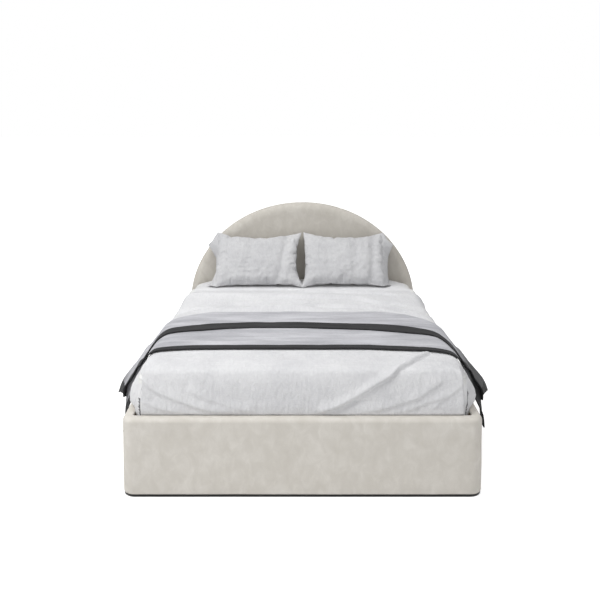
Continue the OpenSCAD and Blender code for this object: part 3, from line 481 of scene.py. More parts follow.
def open_floor(tree, place):
    """1 on the floor around the base, 0 under it, with a soft step at the base's outline. Under the base the
    glow stops and the colour is darkened as painted shadow.
    """
    inside = 0.005
    feather = 0.006
    core = (OUTER_X - inside - CORNER_R, -FOOT_Y - inside - CORNER_R, 10.0)
    past = add(tree, "VectorMath", {0: place}, operation="ABSOLUTE").outputs["Vector"]
    past = add(tree, "VectorMath", {0: past, 1: core}, operation="SUBTRACT").outputs["Vector"]
    past = add(tree, "VectorMath", {0: past, 1: (0, 0, 0)}, operation="MAXIMUM").outputs["Vector"]
    past = add(tree, "VectorMath", {0: past}, operation="LENGTH").outputs["Value"]
    step = {"Value": past, "From Min": CORNER_R, "From Max": CORNER_R + feather}
    return add(tree, "MapRange", step).outputs[0]


def make_floor():
    """A pale matt floor. Its glow grows with distance and stops at the base's edge, and under the base its
    colour is darkened as painted shadow.
    """
    material = bpy.data.materials.new("floor")
    material.use_nodes = True
    tree = material.node_tree
    tree.nodes.clear()
    place = stretched(tree, (1, 1, 1))
    grain = lumps(tree, (3, 3, 3), 3.0)
    paint = ramp(tree, grain, [(0.3, (0.80, 0.80, 0.80, 1)), (0.7, (0.82, 0.82, 0.82, 1))])
    distance = add(tree, "VectorMath", {0: place}, operation="LENGTH").outputs["Value"]
    level = add(tree, "MapRange", {"Value": distance, "From Min": 1.6, "From Max": 4.5,
                                   "To Min": 0.66, "To Max": 1.0}).outputs[0]
    around = open_floor(tree, place)
    # Under the base the floor's colour is darkened to a fifth: painted shadow in the gap beneath the base
    matt = add(tree, "BsdfDiffuse", {"Color": blend_colours(tree, "MULTIPLY", 0.8, paint, around)})
    level = times(tree, times(tree, level, around), seen_directly(tree))
    glow = add(tree, "Emission", {"Color": (1, 1, 1, 1), "Strength": level})
    both = add(tree, "AddShader", {0: matt.outputs[0], 1: glow.outputs[0]})
    add(tree, "OutputMaterial", {"Surface": both.outputs[0]})
    mesh = bpy.data.meshes.new("floor")
    reach = 40.0
    corners = [(-reach, -reach, 0), (reach, -reach, 0), (reach, reach, 0), (-reach, reach, 0)]
    mesh.from_pydata(corners, [], [(0, 1, 2, 3)])
    mesh.materials.append(material)
    return placed("floor", mesh)


make_surroundings()
floor = make_floor()


# Upholstered base

PAD_INNER = 0.0184
LAP_Z = 0.3648
TOP_ROLL = 0.022
BOTTOM_ROLL = 0.009
FOOT_RETURN_Y = -0.992


def rail_ring():
    """Section of a padded rail: how far it stands out from the board's inner face, and its height."""
    top_x, top_z = RAIL_T - TOP_ROLL, RAIL_TOP - TOP_ROLL
    low_x, low_z = RAIL_T - BOTTOM_ROLL, BASE_BOTTOM + BOTTOM_ROLL
    ring = [(PAD_INNER, LAP_Z), (0.0002, LAP_Z), (0.0002, 0.374), (0.0018, 0.3785), (0.006, RAIL_TOP)]
    ring += [(x, RAIL_TOP) for x in np.linspace(0.012, top_x, 4)]
    ring += [(top_x + TOP_ROLL * math.sin(a), top_z + TOP_ROLL * math.cos(a))
             for a in np.linspace(0.16, math.pi / 2, 9)]
    ring += [(RAIL_T, z) for z in np.linspace(0.345, 0.028, 26)]
    ring += [(low_x + BOTTOM_ROLL * math.cos(a), low_z - BOTTOM_ROLL * math.sin(a))
             for a in np.linspace(0.0, math.pi / 2, 9)]
    ring += [(PAD_INNER, BASE_BOTTOM)]
    return np.array(ring)


def rail_cover(name, path, outward, nodes):
    """Velvet over foam, swept along a plan path; outward are the path's unit vectors away from the bed."""
    ring = rail_ring()
    grid = np.zeros((len(path), len(ring), 3))
    grid[:, :, :2] = path[:, None, :] + outward[:, None, :] * ring[None, :, 0, None]
    grid[:, :, 2] = ring[None, :, 1]
    run = run_along(path)
    near_end = np.minimum(run, run[-1] - run)[:, None]
    # The cover draws in at its ends, and its face is a little uneven
    dip = 0.0016 * np.exp(-near_end / 0.004) * (ring[:, 0] > 0.019)[None, :]
    face = smooth((grid[:, :, 2] - 0.02) / 0.08) * smooth((0.37 - grid[:, :, 2]) / 0.05)
    ripple = 0.0010 * fractal(grid, (0.17, 0.17, 0.13), 3, 5) - 0.0008 * (1 - face)
    shift = smooth((ring[:, 0] - 0.022) / 0.02)[None, :] * ripple - dip
    grid[:, :, :2] += outward[:, None, :] * shift[:, :, None]
    cover = skin(name, grid, [VELVET], "base", wrap_v=True)
    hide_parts(*nodes)


def foot_path():
    """Plan path round the foot rail's inner face, and the unit vectors outward from it."""
    corner_x, corner_y = OUTER_X - CORNER_R, FOOT_Y + CORNER_R
    inner_r = CORNER_R - RAIL_T
    half = [(x, FOOT_Y + RAIL_T, 0.0, -1.0) for x in np.linspace(0, corner_x, 46)]
    half += [(corner_x + inner_r * math.sin(a), corner_y - inner_r * math.cos(a), math.sin(a), -math.cos(a))
             for a in np.linspace(0, math.pi / 2, 15)[1:]]
    half += [(INNER_X, y, 1.0, 0.0) for y in np.linspace(corner_y, FOOT_RETURN_Y, 6)[1:]]
    half = np.array(half)
    whole = np.vstack([half[:0:-1] * (-1, 1, -1, 1), half])
    return whole[:, :2], whole[:, 2:]


def make_rails():
    rail_cover("foot_cover", *foot_path(), ["foot_upholstery"])
    for side, label in ((-1, "left"), (1, "right")):
        start = [FOOT_RETURN_Y + gap for gap in (0.0002, 0.003, 0.007)]
        y = np.concatenate([start, np.linspace(-0.975, 1.005, 110), [RAIL_HEAD_Y]])
        path = np.stack([np.full(len(y), side * INNER_X), y], axis=1)
        outward = np.tile([float(side), 0.0], (len(y), 1))
        if side < 0:
            path, outward = path[::-1], outward[::-1]
        rail_cover("side_cover_" + label, path, outward, ["side_upholstery_" + label])


make_rails()


# Headboard

MIDDLE_Z = 0.50
SEAM_GAP = 0.0002


def arch(inset):
    """The headboard's outline in (x, z), anticlockwise from the floor on the right."""
    half_width, rise = OUTER_X - inset, HEADBOARD_TOP - ARCH_SPRING - inset
    a = np.linspace(0, math.pi, 90)
    top = np.stack([half_width * np.cos(a), ARCH_SPRING + rise * np.sin(a)], 1)
    up = np.linspace(BASE_BOTTOM + inset, ARCH_SPRING, 18, endpoint=False)
    right = np.stack([np.full(18, half_width), up], 1)
    foot = np.linspace(-half_width, half_width, 60)[1:-1]
    bottom = np.stack([foot, np.full(len(foot), BASE_BOTTOM + inset)], 1)
    return np.vstack([right, top, right[::-1] * (-1, 1), bottom])


def arch_rings(steps):
    """The outline at each step: how far inside it, and at what y."""
    rings = []
    for inset, y in steps:
        outline = arch(inset)
        rings.append(np.column_stack([outline[:, 0], np.full(len(outline), y), outline[:, 1]]))
    return np.array(rings)


def closed_to_line(grid, shares):
    """The grid with more rings, which shrink its last one to a line along the headboard's middle."""
    last = grid[-1]
    for share in shares:
        ring = last.copy()
        ring[:, 0] = last[:, 0] * mix(0.75, 1.0, share)
        ring[:, 2] = MIDDLE_Z + (last[:, 2] - MIDDLE_Z) * share
        grid = np.concatenate([grid, ring[None]])
    return grid


def make_headboard_front():
    insets = np.concatenate([[0, 0, 0.0005, 0.002, 0.0045, 0.009, 0.015, 0.023, 0.034, 0.050, 0.080, 0.12],
                             np.linspace(0.16, 0.33, 8)])
    roll_width, roll_depth = 0.070, 0.036
    y = HEAD_Y + roll_depth * (1 - np.sqrt(1 - np.clip(1 - insets / roll_width, 0, 1) ** 2))
    y[0] = PANEL_Y - SEAM_GAP
    closing = (0.75, 0.5, 0.25, 0.0)
    grid = closed_to_line(arch_rings(zip(insets, y)), closing)
    crown = smooth((np.concatenate([insets, [0.5] * len(closing)]) - 0.03) / 0.30)[:, None]
    swell = 0.0035 * (1 - crown) + 0.0009 * fractal(grid, 0.19, 3, 21) * smooth(crown * 4)
    swell[:2] = 0
    grid[:, :, 1] += np.where(crown > 0, swell, 0) * smooth(crown * 12)
    cover = skin("headboard_cover", grid, [HEAD_VELVET], "base", wrap_v=True, flip=True)
    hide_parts("headboard_pad")


def make_headboard_edge():
    seam_y = PANEL_Y + SEAM_GAP
    steps = [(0.0148, seam_y), (0.0, seam_y), (0.0, 1.064), (0.0, 1.072), (0.0, 1.080), (0.0, 1.0865),
             (0.0014, 1.0898), (0.004, 1.0915), (0.008, BACK_Y), (0.0148, 1.0912)]
    band = skin("headboard_edge", arch_rings(steps), [HEAD_VELVET], "base", wrap_v=True)
    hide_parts("headboard_border")


def make_headboard_lining():
    steps = [(0.0152, 1.0822), (0.0152, 1.0900), (0.018, 1.0910), (0.030, 1.0908), (0.08, 1.0902),
             (0.16, 1.0900), (0.25, 1.0900), (0.33, 1.0900)]
    back = closed_to_line(arch_rings(steps), (0.6, 0.3, 0.0))
    sag_limit = 0.0009
    sag = sag_limit * fractal(back, (0.10, 0.1, 0.22), 2, 8)
    sag[:3] = 0
    # Flat where the rings close
    sag[-4:] *= np.array([0.4, 0.1, 0.0, 0.0])[:, None]
    back[:, :, 1] += np.minimum(sag, sag_limit)
    lining = skin("headboard_lining", back, [LINING], "base", wrap_v=True)
    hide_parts("headboard_back")


make_headboard_front()
make_headboard_edge()
make_headboard_lining()


# Bedding

# How far cloth lies off what it rests on
CLOTH_GAP = 0.0006


def cap_grid(half, middle, insets, corner, foot_insets=None, chamfer=1.0):
    """A square grid wrapped over a rounded rectangle: ring k lies insets[k] inside its outline.

    corner is the outline's corner radius, or its radii in x and y. foot_insets are the insets at the foot.
    A chamfer above 1 flattens the corners.
    Returns the grid's plan points and each point's ring number."""
    n = len(insets)
    index = np.arange(-(n - 1), n)
    i, j = np.meshgrid(index, index, indexing="ij")
    ring = np.maximum(abs(i), abs(j))
    inset_x = insets[ring]
    inset_y = inset_x if foot_insets is None else np.where(j < 0, foot_insets[ring], inset_x)
    scale = np.maximum(ring, 1)
    hx, hy = half[0] - inset_x, half[1] - inset_y
    x, y = hx * i / scale, hy * j / scale
    corner_x, corner_y = np.broadcast_to(corner, 2)
    rx, ry = np.maximum(corner_x - inset_x, 1e-6), np.maximum(corner_y - inset_y, 1e-6)
    in_corner = (abs(x) > hx - rx) & (abs(y) > hy - ry) & (rx > 1e-5) & (ry > 1e-5)
    on_x_side = abs(i) >= abs(j)
    share = np.clip(np.where(on_x_side, (abs(y) - (hy - ry)) / ry, (abs(x) - (hx - rx)) / rx), 0, 1)
    turn = np.where(on_x_side, share * math.pi / 4, math.pi / 2 - share * math.pi / 4)
    x = np.where(in_corner, np.sign(i) * (hx - rx + rx * np.cos(turn) ** chamfer), x)
    y = np.where(in_corner, np.sign(j) * (hy - ry + ry * np.sin(turn) ** chamfer), y)
    return np.stack([x, y + middle], axis=2), ring


def near_line(points, line):
    """Distance from each point to a line, how far along the line the nearest place is as a share of its
    length, the offset from there, and the line's direction there."""
    line = np.asarray(line, float)
    run = run_along(line)
    best = np.full(len(points), 1e9)
    along = np.zeros(len(points))
    offset = np.zeros((len(points), 3))
    tangent = np.zeros((len(points), 3))
    for a, b, start, length in zip(line[:-1], line[1:], run[:-1], np.diff(run)):
        d = (b - a) / length
        t = np.clip((points - a) @ d, 0, length)
        away = points - a - t[:, None] * d
        dist = np.linalg.norm(away, axis=1)
        closer = dist < best
        best = np.where(closer, dist, best)
        along = np.where(closer, (start + t) / run[-1], along)
        offset[closer] = away[closer]
        tangent[closer] = d
    return best, along, offset, tangent


def fold_height(points, normals, line, height, width, steep):
    """Height of one fold along a line. It falls sharply on the side that steep's sign chooses, into a
    hollow of steep's share of its height, and gently on the other."""
    line = spline(line, 24)
    dist, along, offset, tangent = near_line(points, line)
    side = np.sign(np.einsum("ij,ij->i", np.cross(normals, tangent), offset)) * np.sign(steep)
    hollow = abs(steep)
    gentle = np.exp(-(dist / width) ** 2)
    edge = np.exp(-(dist / (0.26 * width + 0.003)) ** 2)
    sharp = (1 + hollow) * edge - hollow * np.exp(-(dist / (1.2 * width)) ** 2)
    taper = smooth(np.minimum(along, 1 - along) / 0.14)
    return height * taper * np.where(side > 0, sharp, gentle)


THROW_FRONT_Y = -0.730
THROW_BACK_Y = -0.096
THROW_UPPER_Y = -0.402
THROW_HEM = 0.160
HANG_TOP = 0.575

# How far the throw's front, upper and back edges swing to the foot, at distances from the bed's middle
THROW_SWING = {
    -1: ([(0.40, 0.0), (0.60, 0.008), (0.72, 0.021), (0.86, 0.020)],
         [(0.28, 0.0), (0.411, 0.015), (0.576, 0.048), (0.685, 0.074), (0.738, 0.087), (0.762, 0.106),
          (0.783, 0.140), (0.797, 0.181), (0.812, 0.235), (0.830, 0.285), (0.86, 0.300)],
         [(0.55, 0.0), (0.61, 0.028), (0.67, 0.064), (0.73, 0.103), (0.79, 0.145)]),
    1: ([(0.35, 0.0), (0.457, 0.015), (0.586, 0.026), (0.638, 0.031), (0.712, 0.048), (0.762, 0.058),
         (0.82, 0.070)],
        [(0.0, 0.0), (0.213, 0.019), (0.381, 0.039), (0.490, 0.066), (0.571, 0.088), (0.625, 0.103),
         (0.677, 0.119), (0.703, 0.129), (0.728, 0.143), (0.750, 0.176), (0.767, 0.223), (0.785, 0.285),
         (0.82, 0.330)],
        [(0.46, 0.0), (0.55, 0.020), (0.62, 0.060), (0.70, 0.130), (0.78, 0.225)]),
}


def throw_swing(x, y, on_top=0):
    """How far the throw's lower or upper layer swings to the foot near the bed's sides."""
    x, y, on_top = np.broadcast_arrays(x, y, on_top)
    lower_share = smooth((y - THROW_FRONT_Y) / (THROW_BACK_Y - THROW_FRONT_Y))
    upper_share = smooth((y - THROW_UPPER_Y) / (THROW_BACK_Y - THROW_UPPER_Y))
    result = np.zeros(x.shape)
    for side, lines in THROW_SWING.items():
        front, upper, back = [np.interp(abs(x), *np.array(line).T) for line in lines]
        here = np.where(on_top > 0, mix(upper, back, upper_share), mix(front, back, lower_share))
        result = np.where(np.sign(x) == side, here, result)
    return result


# The duvet's edge: how far a point lies inside the outline, and its height over the floor at the foot
DUVET_EDGE = [(0.300, 0.5899), (0.220, 0.5894), (0.158, 0.588), (0.113, 0.584), (0.083, 0.575),
              (0.061, 0.557), (0.043, 0.528), (0.026, 0.490), (0.011, 0.450), (0.002, 0.420),
              (0.000, 0.402), (0.0006, 0.392), (0.003, 0.3835), (0.009, 0.3806), (0.022, 0.3812)]
DUVET_SIDE = 0.858
DUVET_CORNER = (0.088, 0.150)
# Above 1 it flattens the duvet's corners
DUVET_CHAMFER = 1.9

# How far the edge lies inside the outline at the foot, for the insets at the sides
FOOT_INSETS = [(0.0, 0.0), (0.011, 0.008), (0.026, 0.015), (0.043, 0.0260), (0.061, 0.0395), (0.083, 0.053),
               (0.113, 0.070), (0.158, 0.100), (0.220, 0.170), (0.300, 0.280), (0.340, 0.340)]

# Hollows and swells across the bed, from the foot to the head: y, and height over the duvet's level top
DUVET_RELIEF = [(-1.10, 0.0), (-0.60, 0.0), (-0.14, 0.0), (-0.09, -0.002), (-0.03, -0.019), (0.02, -0.027),
                (0.06, -0.025), (0.105, -0.012), (0.13, -0.012), (0.155, -0.019), (0.20, -0.015),
                (0.30, -0.001), (0.37, 0.005), (0.42, 0.001), (0.47, -0.014), (0.52, -0.027), (0.57, -0.033),
                (0.66, -0.036)]


def foot_inset(inset):
    """How far inside the outline the edge lies at the foot, where it lies inset inside at the sides."""
    inset = np.asarray(inset, float)
    from_sides, at_foot = np.array(FOOT_INSETS).T
    return np.where(inset > from_sides[-1], inset, np.interp(inset, from_sides, at_foot))


def foot_point(x, z):
    """The place on the duvet's foot face that is at x and at height z."""
    inset = np.interp(z, *np.array(DUVET_EDGE[10::-1]).T[::-1])
    into_corner = max(0.0, abs(x) - (DUVET_SIDE - DUVET_CORNER[0])) / DUVET_CORNER[0]
    return x, DUVET_FOOT_Y + float(foot_inset(inset)) + DUVET_CORNER[1] * 0.75 * into_corner ** 1.3, z


# Folds of the duvet: points in metres (x and z alone on the foot face), height, half width, and the hollow
# beside it with its side
DUVET_FOLDS = [
    ([(0.700, -0.742, 0.59), (0.653, -0.776, 0.588), (0.580, -0.852, 0.587), (0.493, -0.962, 0.583),
      (0.416, 0.552), (0.345, 0.518), (0.276, 0.479), (0.204, 0.441), (0.132, 0.412), (0.030, 0.385)],
     0.015, 0.025, 0.9),
    ([(0.700, 0.548), (0.610, 0.498), (0.546, 0.460), (0.464, 0.438), (0.384, 0.414), (0.250, 0.385)],
     0.006, 0.028, 0.8),
    ([(0.700, 0.474), (0.561, 0.428), (0.500, 0.404), (0.400, 0.385)], 0.004, 0.020, 0.8),
    ([(0.770, 0.520), (0.700, 0.474), (0.620, 0.412)], 0.004, 0.022, 0.6),
    ([(-0.790, 0.550), (-0.727, 0.506), (-0.668, 0.478), (-0.586, 0.449), (-0.498, 0.420), (-0.392, 0.395),
      (-0.260, 0.383)],
     0.007, 0.026, -0.9),
    ([(-0.560, 0.500), (-0.474, 0.464), (-0.391, 0.440), (-0.300, 0.410), (-0.200, 0.390)],
     0.004, 0.024, -0.7),
    ([(-0.780, 0.445), (-0.668, 0.410), (-0.571, 0.390)], 0.0035, 0.018, -0.7),
    ([(-0.820, 0.390, 0.56), (-0.590, 0.351, 0.59), (-0.353, 0.338, 0.59), (0.050, 0.330, 0.59)],
     0.0135, 0.036, 0.7),
    ([(-0.120, 0.440, 0.58), (0.187, 0.404, 0.58), (0.391, 0.391, 0.59), (0.680, 0.340, 0.59)],
     0.012, 0.030, -0.6),
    ([(-0.150, 0.318, 0.59), (0.303, 0.294, 0.59), (0.482, 0.215, 0.59), (0.720, 0.140, 0.58)],
     0.015, 0.034, -0.8),
    ([(-0.820, -0.060, 0.57), (-0.656, 0.054, 0.585), (-0.417, 0.075, 0.59), (-0.145, 0.125, 0.59),
      (0.120, 0.137, 0.59)],
     0.0165, 0.036, 0.8),
    ([(-0.100, 0.160, 0.59), (0.274, 0.125, 0.59), (0.553, 0.089, 0.59), (0.790, -0.040, 0.57)],
     0.018, 0.038, -0.9),
    ([(0.150, 0.020, 0.59), (0.389, -0.040, 0.59), (0.594, -0.070, 0.585), (0.760, -0.150, 0.57)],
     0.018, 0.030, -0.9),
    ([(-0.500, 0.215, 0.59), (-0.200, 0.235, 0.59), (0.100, 0.225, 0.59)], 0.009, 0.030, 0.6),
]
# Slits where the duvet is tucked in at the foot's corners: points (x, z)
DUVET_SLITS = [
    [(-0.771, 0.520), (-0.779, 0.500), (-0.788, 0.476), (-0.783, 0.430), (-0.775, 0.370)],
    [(0.787, 0.498), (0.806, 0.462), (0.800, 0.425), (0.788, 0.370)],
]
SLIT_DEPTH = 0.007
SLIT_WIDTH = 0.0050
# How near a face's corners lie to a slit, on average, for the face to take the painted shade
SLIT_SHADE = 0.0058
SLIT_TOP = 0.525

# Inside these it may hang lower than the rails' tops
RAIL_EDGE_X = INNER_X - 0.0005
RAIL_EDGE_Y = FOOT_Y + RAIL_T + 0.0005
DUVET_LOWEST = 0.360


def hem_height(x, y):
    """Height of the duvet's outline: on the rails, and towards the head on the mattress's rounded edge."""
    on_sheet = SHEET_TOP + CLOTH_GAP - 0.050 * np.clip((abs(x) - 0.740) / 0.090, 0, 1) ** 2
    hem = mix(DUVET_HEM, on_sheet, smooth((y - DUVET_HEAD_Y + 0.300) / 0.220))
    # At the foot's corners it reaches down behind the rails' tops
    corner = smooth((abs(x) - 0.772) / 0.008) * smooth((RAIL_EDGE_X - abs(x)) / 0.004)
    return hem - 0.030 * corner * smooth((-0.96 - y) / 0.02)


def top_height(x, y):
    """The duvet's top, which thins out to the sheet at its head end."""
    across = np.stack([x, 0 * x, 0 * x], axis=-1)
    place = y + 0.024 * fractal(across, (0.42, 1, 1), 2, 33) * smooth((0.50 - y) / 0.2)
    line = spline(DUVET_RELIEF, 200)
    level = DUVET_TOP + np.interp(place, line[:, 0], line[:, 1])
    return np.maximum(level, hem_height(x, y) + 0.0030)


def throw_cover(p):
    """1 where the throw lies on the duvet, 0 away from it."""
    swing = throw_swing(p[:, 0], p[:, 1])
    y = p[:, 1] + swing
    return smooth((y - THROW_FRONT_Y + 0.030) / 0.03) * smooth((THROW_BACK_Y + 0.012 - y) / 0.03)


def duvet_grid(top_step, edge_step):
    """The duvet without relief, as a grid of points, and how far up from the hem to the top each one is."""
    edge = np.array([(-e, z) for e, z in DUVET_EDGE])
    edge = spline(edge, int(run_along(edge)[-1] / edge_step))
    first = -edge[0, 0]
    top = np.linspace(DUVET_SIDE, first, int((DUVET_SIDE - first) / top_step))[:-1]
    insets = np.concatenate([top, -edge[:, 0]])
    level = (edge[:, 1] - DUVET_HEM) / (DUVET_TOP - DUVET_HEM)
    share = np.concatenate([mix(1.0, level[0], np.linspace(0, 1, len(top))), level])
    half = (DUVET_SIDE, (DUVET_HEAD_Y - DUVET_FOOT_Y) / 2)
    middle = (DUVET_HEAD_Y + DUVET_FOOT_Y) / 2
    plan, ring = cap_grid(half, middle, insets, DUVET_CORNER, foot_inset(insets), DUVET_CHAMFER)
    # The sides draw in to the mattress's width towards the head
    x, y = plan[:, :, 0] * (1 - 0.032 * smooth((plan[:, :, 1] - 0.20) / 0.42)), plan[:, :, 1]
    hem = hem_height(x, y)
    z = hem + (np.maximum(top_height(x, y), hem) - hem) * share[ring]
    return np.dstack([x, y, z]), share[ring]


def duvet_relief(p, n):
    """Height of the duvet's swells, wrinkles and folds at points p, whose normals are n."""
    covered = throw_cover(p)
    foot_face = smooth((-0.99 - p[:, 1]) / 0.04)
    side_face = smooth((abs(p[:, 0]) - 0.80) / 0.03)
    drop_share = smooth((HANG_TOP - p[:, 2]) / 0.06)
    near_head = smooth((p[:, 1] - 0.48) / 0.10)
    height = 0.0032 * fractal(p, 0.36, 2, 3)
    height += 0.0030 * fractal(p, (0.30, 0.065, 0.20), 3, 11) * (1 - foot_face)
    # Fine puckers: crinkles on top, upright gathers down the foot and the sides
    crinkled = 0.5 + 0.9 * smooth((p[:, 0] - 0.30) / 0.35) * smooth((-0.60 - p[:, 1]) / 0.2)
    height -= 0.0026 * np.abs(fractal(p, (0.050, 0.026, 0.040), 2, 29)) * (1 - 0.6 * foot_face) * crinkled
    height -= 0.0034 * np.abs(fractal(p, (0.015, 0.030, 0.100), 2, 17)) * np.maximum(foot_face, side_face)
    height += 0.0030 * np.sin(p[:, 1] * 26 + 3 * fractal(p, 0.3, 2, 51)) * side_face * drop_share
    for line, tall, width, steep in DUVET_FOLDS:
        line = [point if len(point) == 3 else foot_point(*point) for point in line]
        height += fold_height(p, n, line, tall, width, steep)
    height *= (1 - 0.93 * covered) * (1 - 0.6 * near_head)
    height -= 0.0025 * covered
    # Nothing sinks into the mattress's edge
    return np.where((foot_face > 0) & (p[:, 2] > 0.45), np.maximum(height, -0.0035), height)


def slit_relief(p):
    """Height at the slits, beside which the tucked flaps bulge, and the distance to the nearest slit."""
    flat = p * (1, 0, 1)
    height = np.zeros(len(p))
    nearest = np.ones(len(p))
    for line in DUVET_SLITS:
        dist = near_line(flat, spline([(x, 0.0, z) for x, z in line], 24))[0]
        edge_x = line[1][0]
        here = smooth((SLIT_TOP - p[:, 2]) / 0.070) * (p[:, 1] < -0.90)
        outside = smooth((abs(p[:, 0]) - abs(edge_x)) / 0.01) * (np.sign(p[:, 0]) == np.sign(edge_x))
        bulge = np.exp(-((dist - 0.045) / 0.030) ** 2)
        height += here * (0.009 * bulge * outside - SLIT_DEPTH * np.exp(-(dist / SLIT_WIDTH) ** 2))
        nearest = np.minimum(nearest, np.where(here > 0.15, dist, 1.0))
    return height, nearest


def make_duvet():
    grid, share = duvet_grid(*(((0.0070, 0.0060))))
    p, n, f = grid.reshape(-1, 3), grid_normals(grid).reshape(-1, 3), share.ravel()
    slits, to_slit = slit_relief(p)
    height = duvet_relief(p, n) + slits
    height = np.where(f > 0.99, np.minimum(height, 0.012), height)
    p = p + n * (height * smooth((f - 0.02) / 0.10))[:, None]
    # The hem wanders a little where it meets the rails
    wander = 0.0025 * fractal(p * (1, 1, 0), 0.11, 2, 71)
    p[:, 2] += (1 - smooth(f / 0.25)) * (1 - smooth((p[:, 1] - 0.25) / 0.1)) * np.maximum(wander, -0.0003)
    over_rail = (abs(p[:, 0]) > RAIL_EDGE_X) | (p[:, 1] < RAIL_EDGE_Y)
    p[:, 2] = np.maximum(p[:, 2], np.where(over_rail, RAIL_TOP + CLOTH_GAP, DUVET_LOWEST))
    to_slit = to_slit.reshape(grid.shape[:2])
    # Faces along the slits take the dark cloth, as painted shade inside them
    shaded = (to_slit[:-1, :-1] + to_slit[1:, 1:] + to_slit[1:, :-1] + to_slit[:-1, 1:]) / 4 < SLIT_SHADE
    duvet = skin("duvet_cover", p.reshape(grid.shape), [DUVET, DUVET_SHADE], "platform",
                 face_material=shaded.astype(int).ravel())
    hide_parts("duvet")


make_duvet()


def smooth_start(t):
    """A rise from 0 to 1 that starts gently and then goes straight."""
    return np.where(t < 0.2, 2.5 * t * t, t - 0.1) / 0.9


THROW_THICKNESS = 0.0056
THROW_LAYERS = (0.0030, 0.0104)
# How far the hems stand out at the fold, and rise at the upper layer's edge
HEM_FLARE_LEFT, HEM_FLARE_RIGHT = 0.150, 0.128
HEM_RISE_LEFT, HEM_RISE_RIGHT = 0.165, 0.115
# Widths of the charcoal borders: along the two long edges, and at the hems
LOWER_BORDER, UPPER_BORDER, HEM_BORDER = 0.053, 0.0965, 0.066


def throw_path():
    """The throw's underside from the bed's middle to its hem, as (x, z)."""
    lift = 0.0014
    on_bed = [(DUVET_SIDE - e, z) for e, z in DUVET_EDGE if e < 0.25 and z > 0.44]
    points = [(x, DUVET_TOP + lift) for x in (0, 0.15, 0.30, 0.45)]
    points += [(x + lift * 0.7, z + lift) for x, z in on_bed]
    points += [(0.866, 0.425), (0.878, 0.385), (0.890, 0.345), (0.905, 0.310), (0.929, 0.248), (0.935, 0.205),
               (0.934, THROW_HEM)]
    return spline(points, 190)


def throw_section():
    """The folded throw seen from its end: y, height over the duvet, and 1 on the upper layer."""
    step = 0.0105
    low, high = THROW_LAYERS
    before_fold = THROW_BACK_Y - 0.0035
    lower_y = np.arange(THROW_FRONT_Y, THROW_BACK_Y - 0.008, step)
    upper_y = np.arange(THROW_UPPER_Y, THROW_BACK_Y - 0.008, step)[::-1]
    section = [(y, low, 0) for y in lower_y]
    section += [(before_fold, low + 0.0004, 0), (THROW_BACK_Y, (low + high) / 2, 1),
                (before_fold, high - 0.0004, 1)]
    section += [(y, high, 1) for y in upper_y]
    return np.array(section)


def make_throw():
    path = throw_path()
    run = run_along(path)
    section = throw_section()
    flat_w = run_along(section[:, :2])
    stations = np.concatenate([-np.arange(len(path) - 1, 0, -1), np.arange(len(path))])
    k = abs(stations)
    side = np.where(stations < 0, -1.0, 1.0)
    d = np.gradient(path, axis=0)
    d /= np.linalg.norm(d, axis=1, keepdims=True)
    x, z, dx, dz = path[k, 0], path[k, 1], d[k, 0], d[k, 1]
    y, out, upper = section.T[:, None, :]
    hang = smooth_start(np.clip((HANG_TOP - z) / (HANG_TOP - THROW_HEM), 0, 1))[:, None]
    right = side[:, None] > 0
    away = (side * np.maximum(x, 1e-6))[:, None]
    place = y - throw_swing(away, y, upper)
    edge = THROW_UPPER_Y - throw_swing(away, THROW_UPPER_Y, 1)
    fold = THROW_BACK_Y - throw_swing(away, THROW_BACK_Y, 1)
    # Behind the upper layer's edge both layers stand out more and more, and their hem slopes down to the fold
    past_edge = (place - edge) / (fold - edge)
    flare = np.where(right, HEM_FLARE_RIGHT, HEM_FLARE_LEFT) * hang * np.clip((past_edge - 0.12) / 0.88, 0, 1)
    flare -= 0.060 * hang * (1 - hang) * np.clip(-past_edge / 0.11, 0, 1)
    lift = np.where(right, HEM_RISE_RIGHT, HEM_RISE_LEFT) * hang * np.clip(1 - past_edge, 0, 1) ** 0.85
    behind = smooth((past_edge + 0.04) / 0.16)
    lift = np.where(upper > 0, lift, (lift + 0.010 * hang) * behind) + 0.045 * hang * right
    grid = np.zeros((len(stations), len(section), 3))
    grid[:, :, 0] = side[:, None] * (x[:, None] - dz[:, None] * out + flare)
    grid[:, :, 1] = place
    grid[:, :, 2] = z[:, None] + dx[:, None] * out + lift
    # Soft crosswise streaks where it lies, and looser folds where it hangs
    p = grid.reshape(-1, 3)
    flat_place = np.stack([np.repeat(run[k] * side, len(section)), np.tile(flat_w, len(stations)),
                           np.zeros(len(p))], axis=1)
    hanging = np.repeat(hang, len(section))
    on_top = np.tile(upper.ravel(), len(stations))
    streak = 0.0026 * np.abs(fractal(flat_place, (0.22, 0.035, 1), 3, 61)) * (1 - hanging)
    soft = 0.0050 * smooth(fractal(flat_place, (0.5, 0.16, 1), 2, 66)) * (1 - hanging) * on_top
    p[:, 2] += streak + soft
    billow = 0.010 * fractal(flat_place, (0.20, 0.13, 1), 2, 81) * hanging
    billow = np.where(on_top > 0, np.maximum(billow, -0.004), np.minimum(billow, 0.004))
    p[:, 0] += np.sign(p[:, 0]) * billow * 0.8
    total = flat_w[-1]
    face_w = (flat_w[:-1] + flat_w[1:]) / 2
    face_u = (run[k][:-1] + run[k][1:]) / 2
    dark = (face_w < LOWER_BORDER) | (face_w > total - UPPER_BORDER)
    dark = dark[None, :] | (face_u > run[-1] - HEM_BORDER)[:, None]
    throw = skin("throw_blanket", grid, [THROW, THROW_EDGE], "platform",
                 face_material=dark.astype(int).ravel())
    thicken(throw, THROW_THICKNESS)
    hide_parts("throw")


make_throw()


def head_droop(p):
    """The mattress's top rounds down towards its corners at the head."""
    across = smooth((abs(p[:, 0]) - 0.60) / 0.22)
    return 0.040 * across * smooth((p[:, 1] - 0.62) / 0.25) * smooth((p[:, 2] - 0.44) / 0.10)


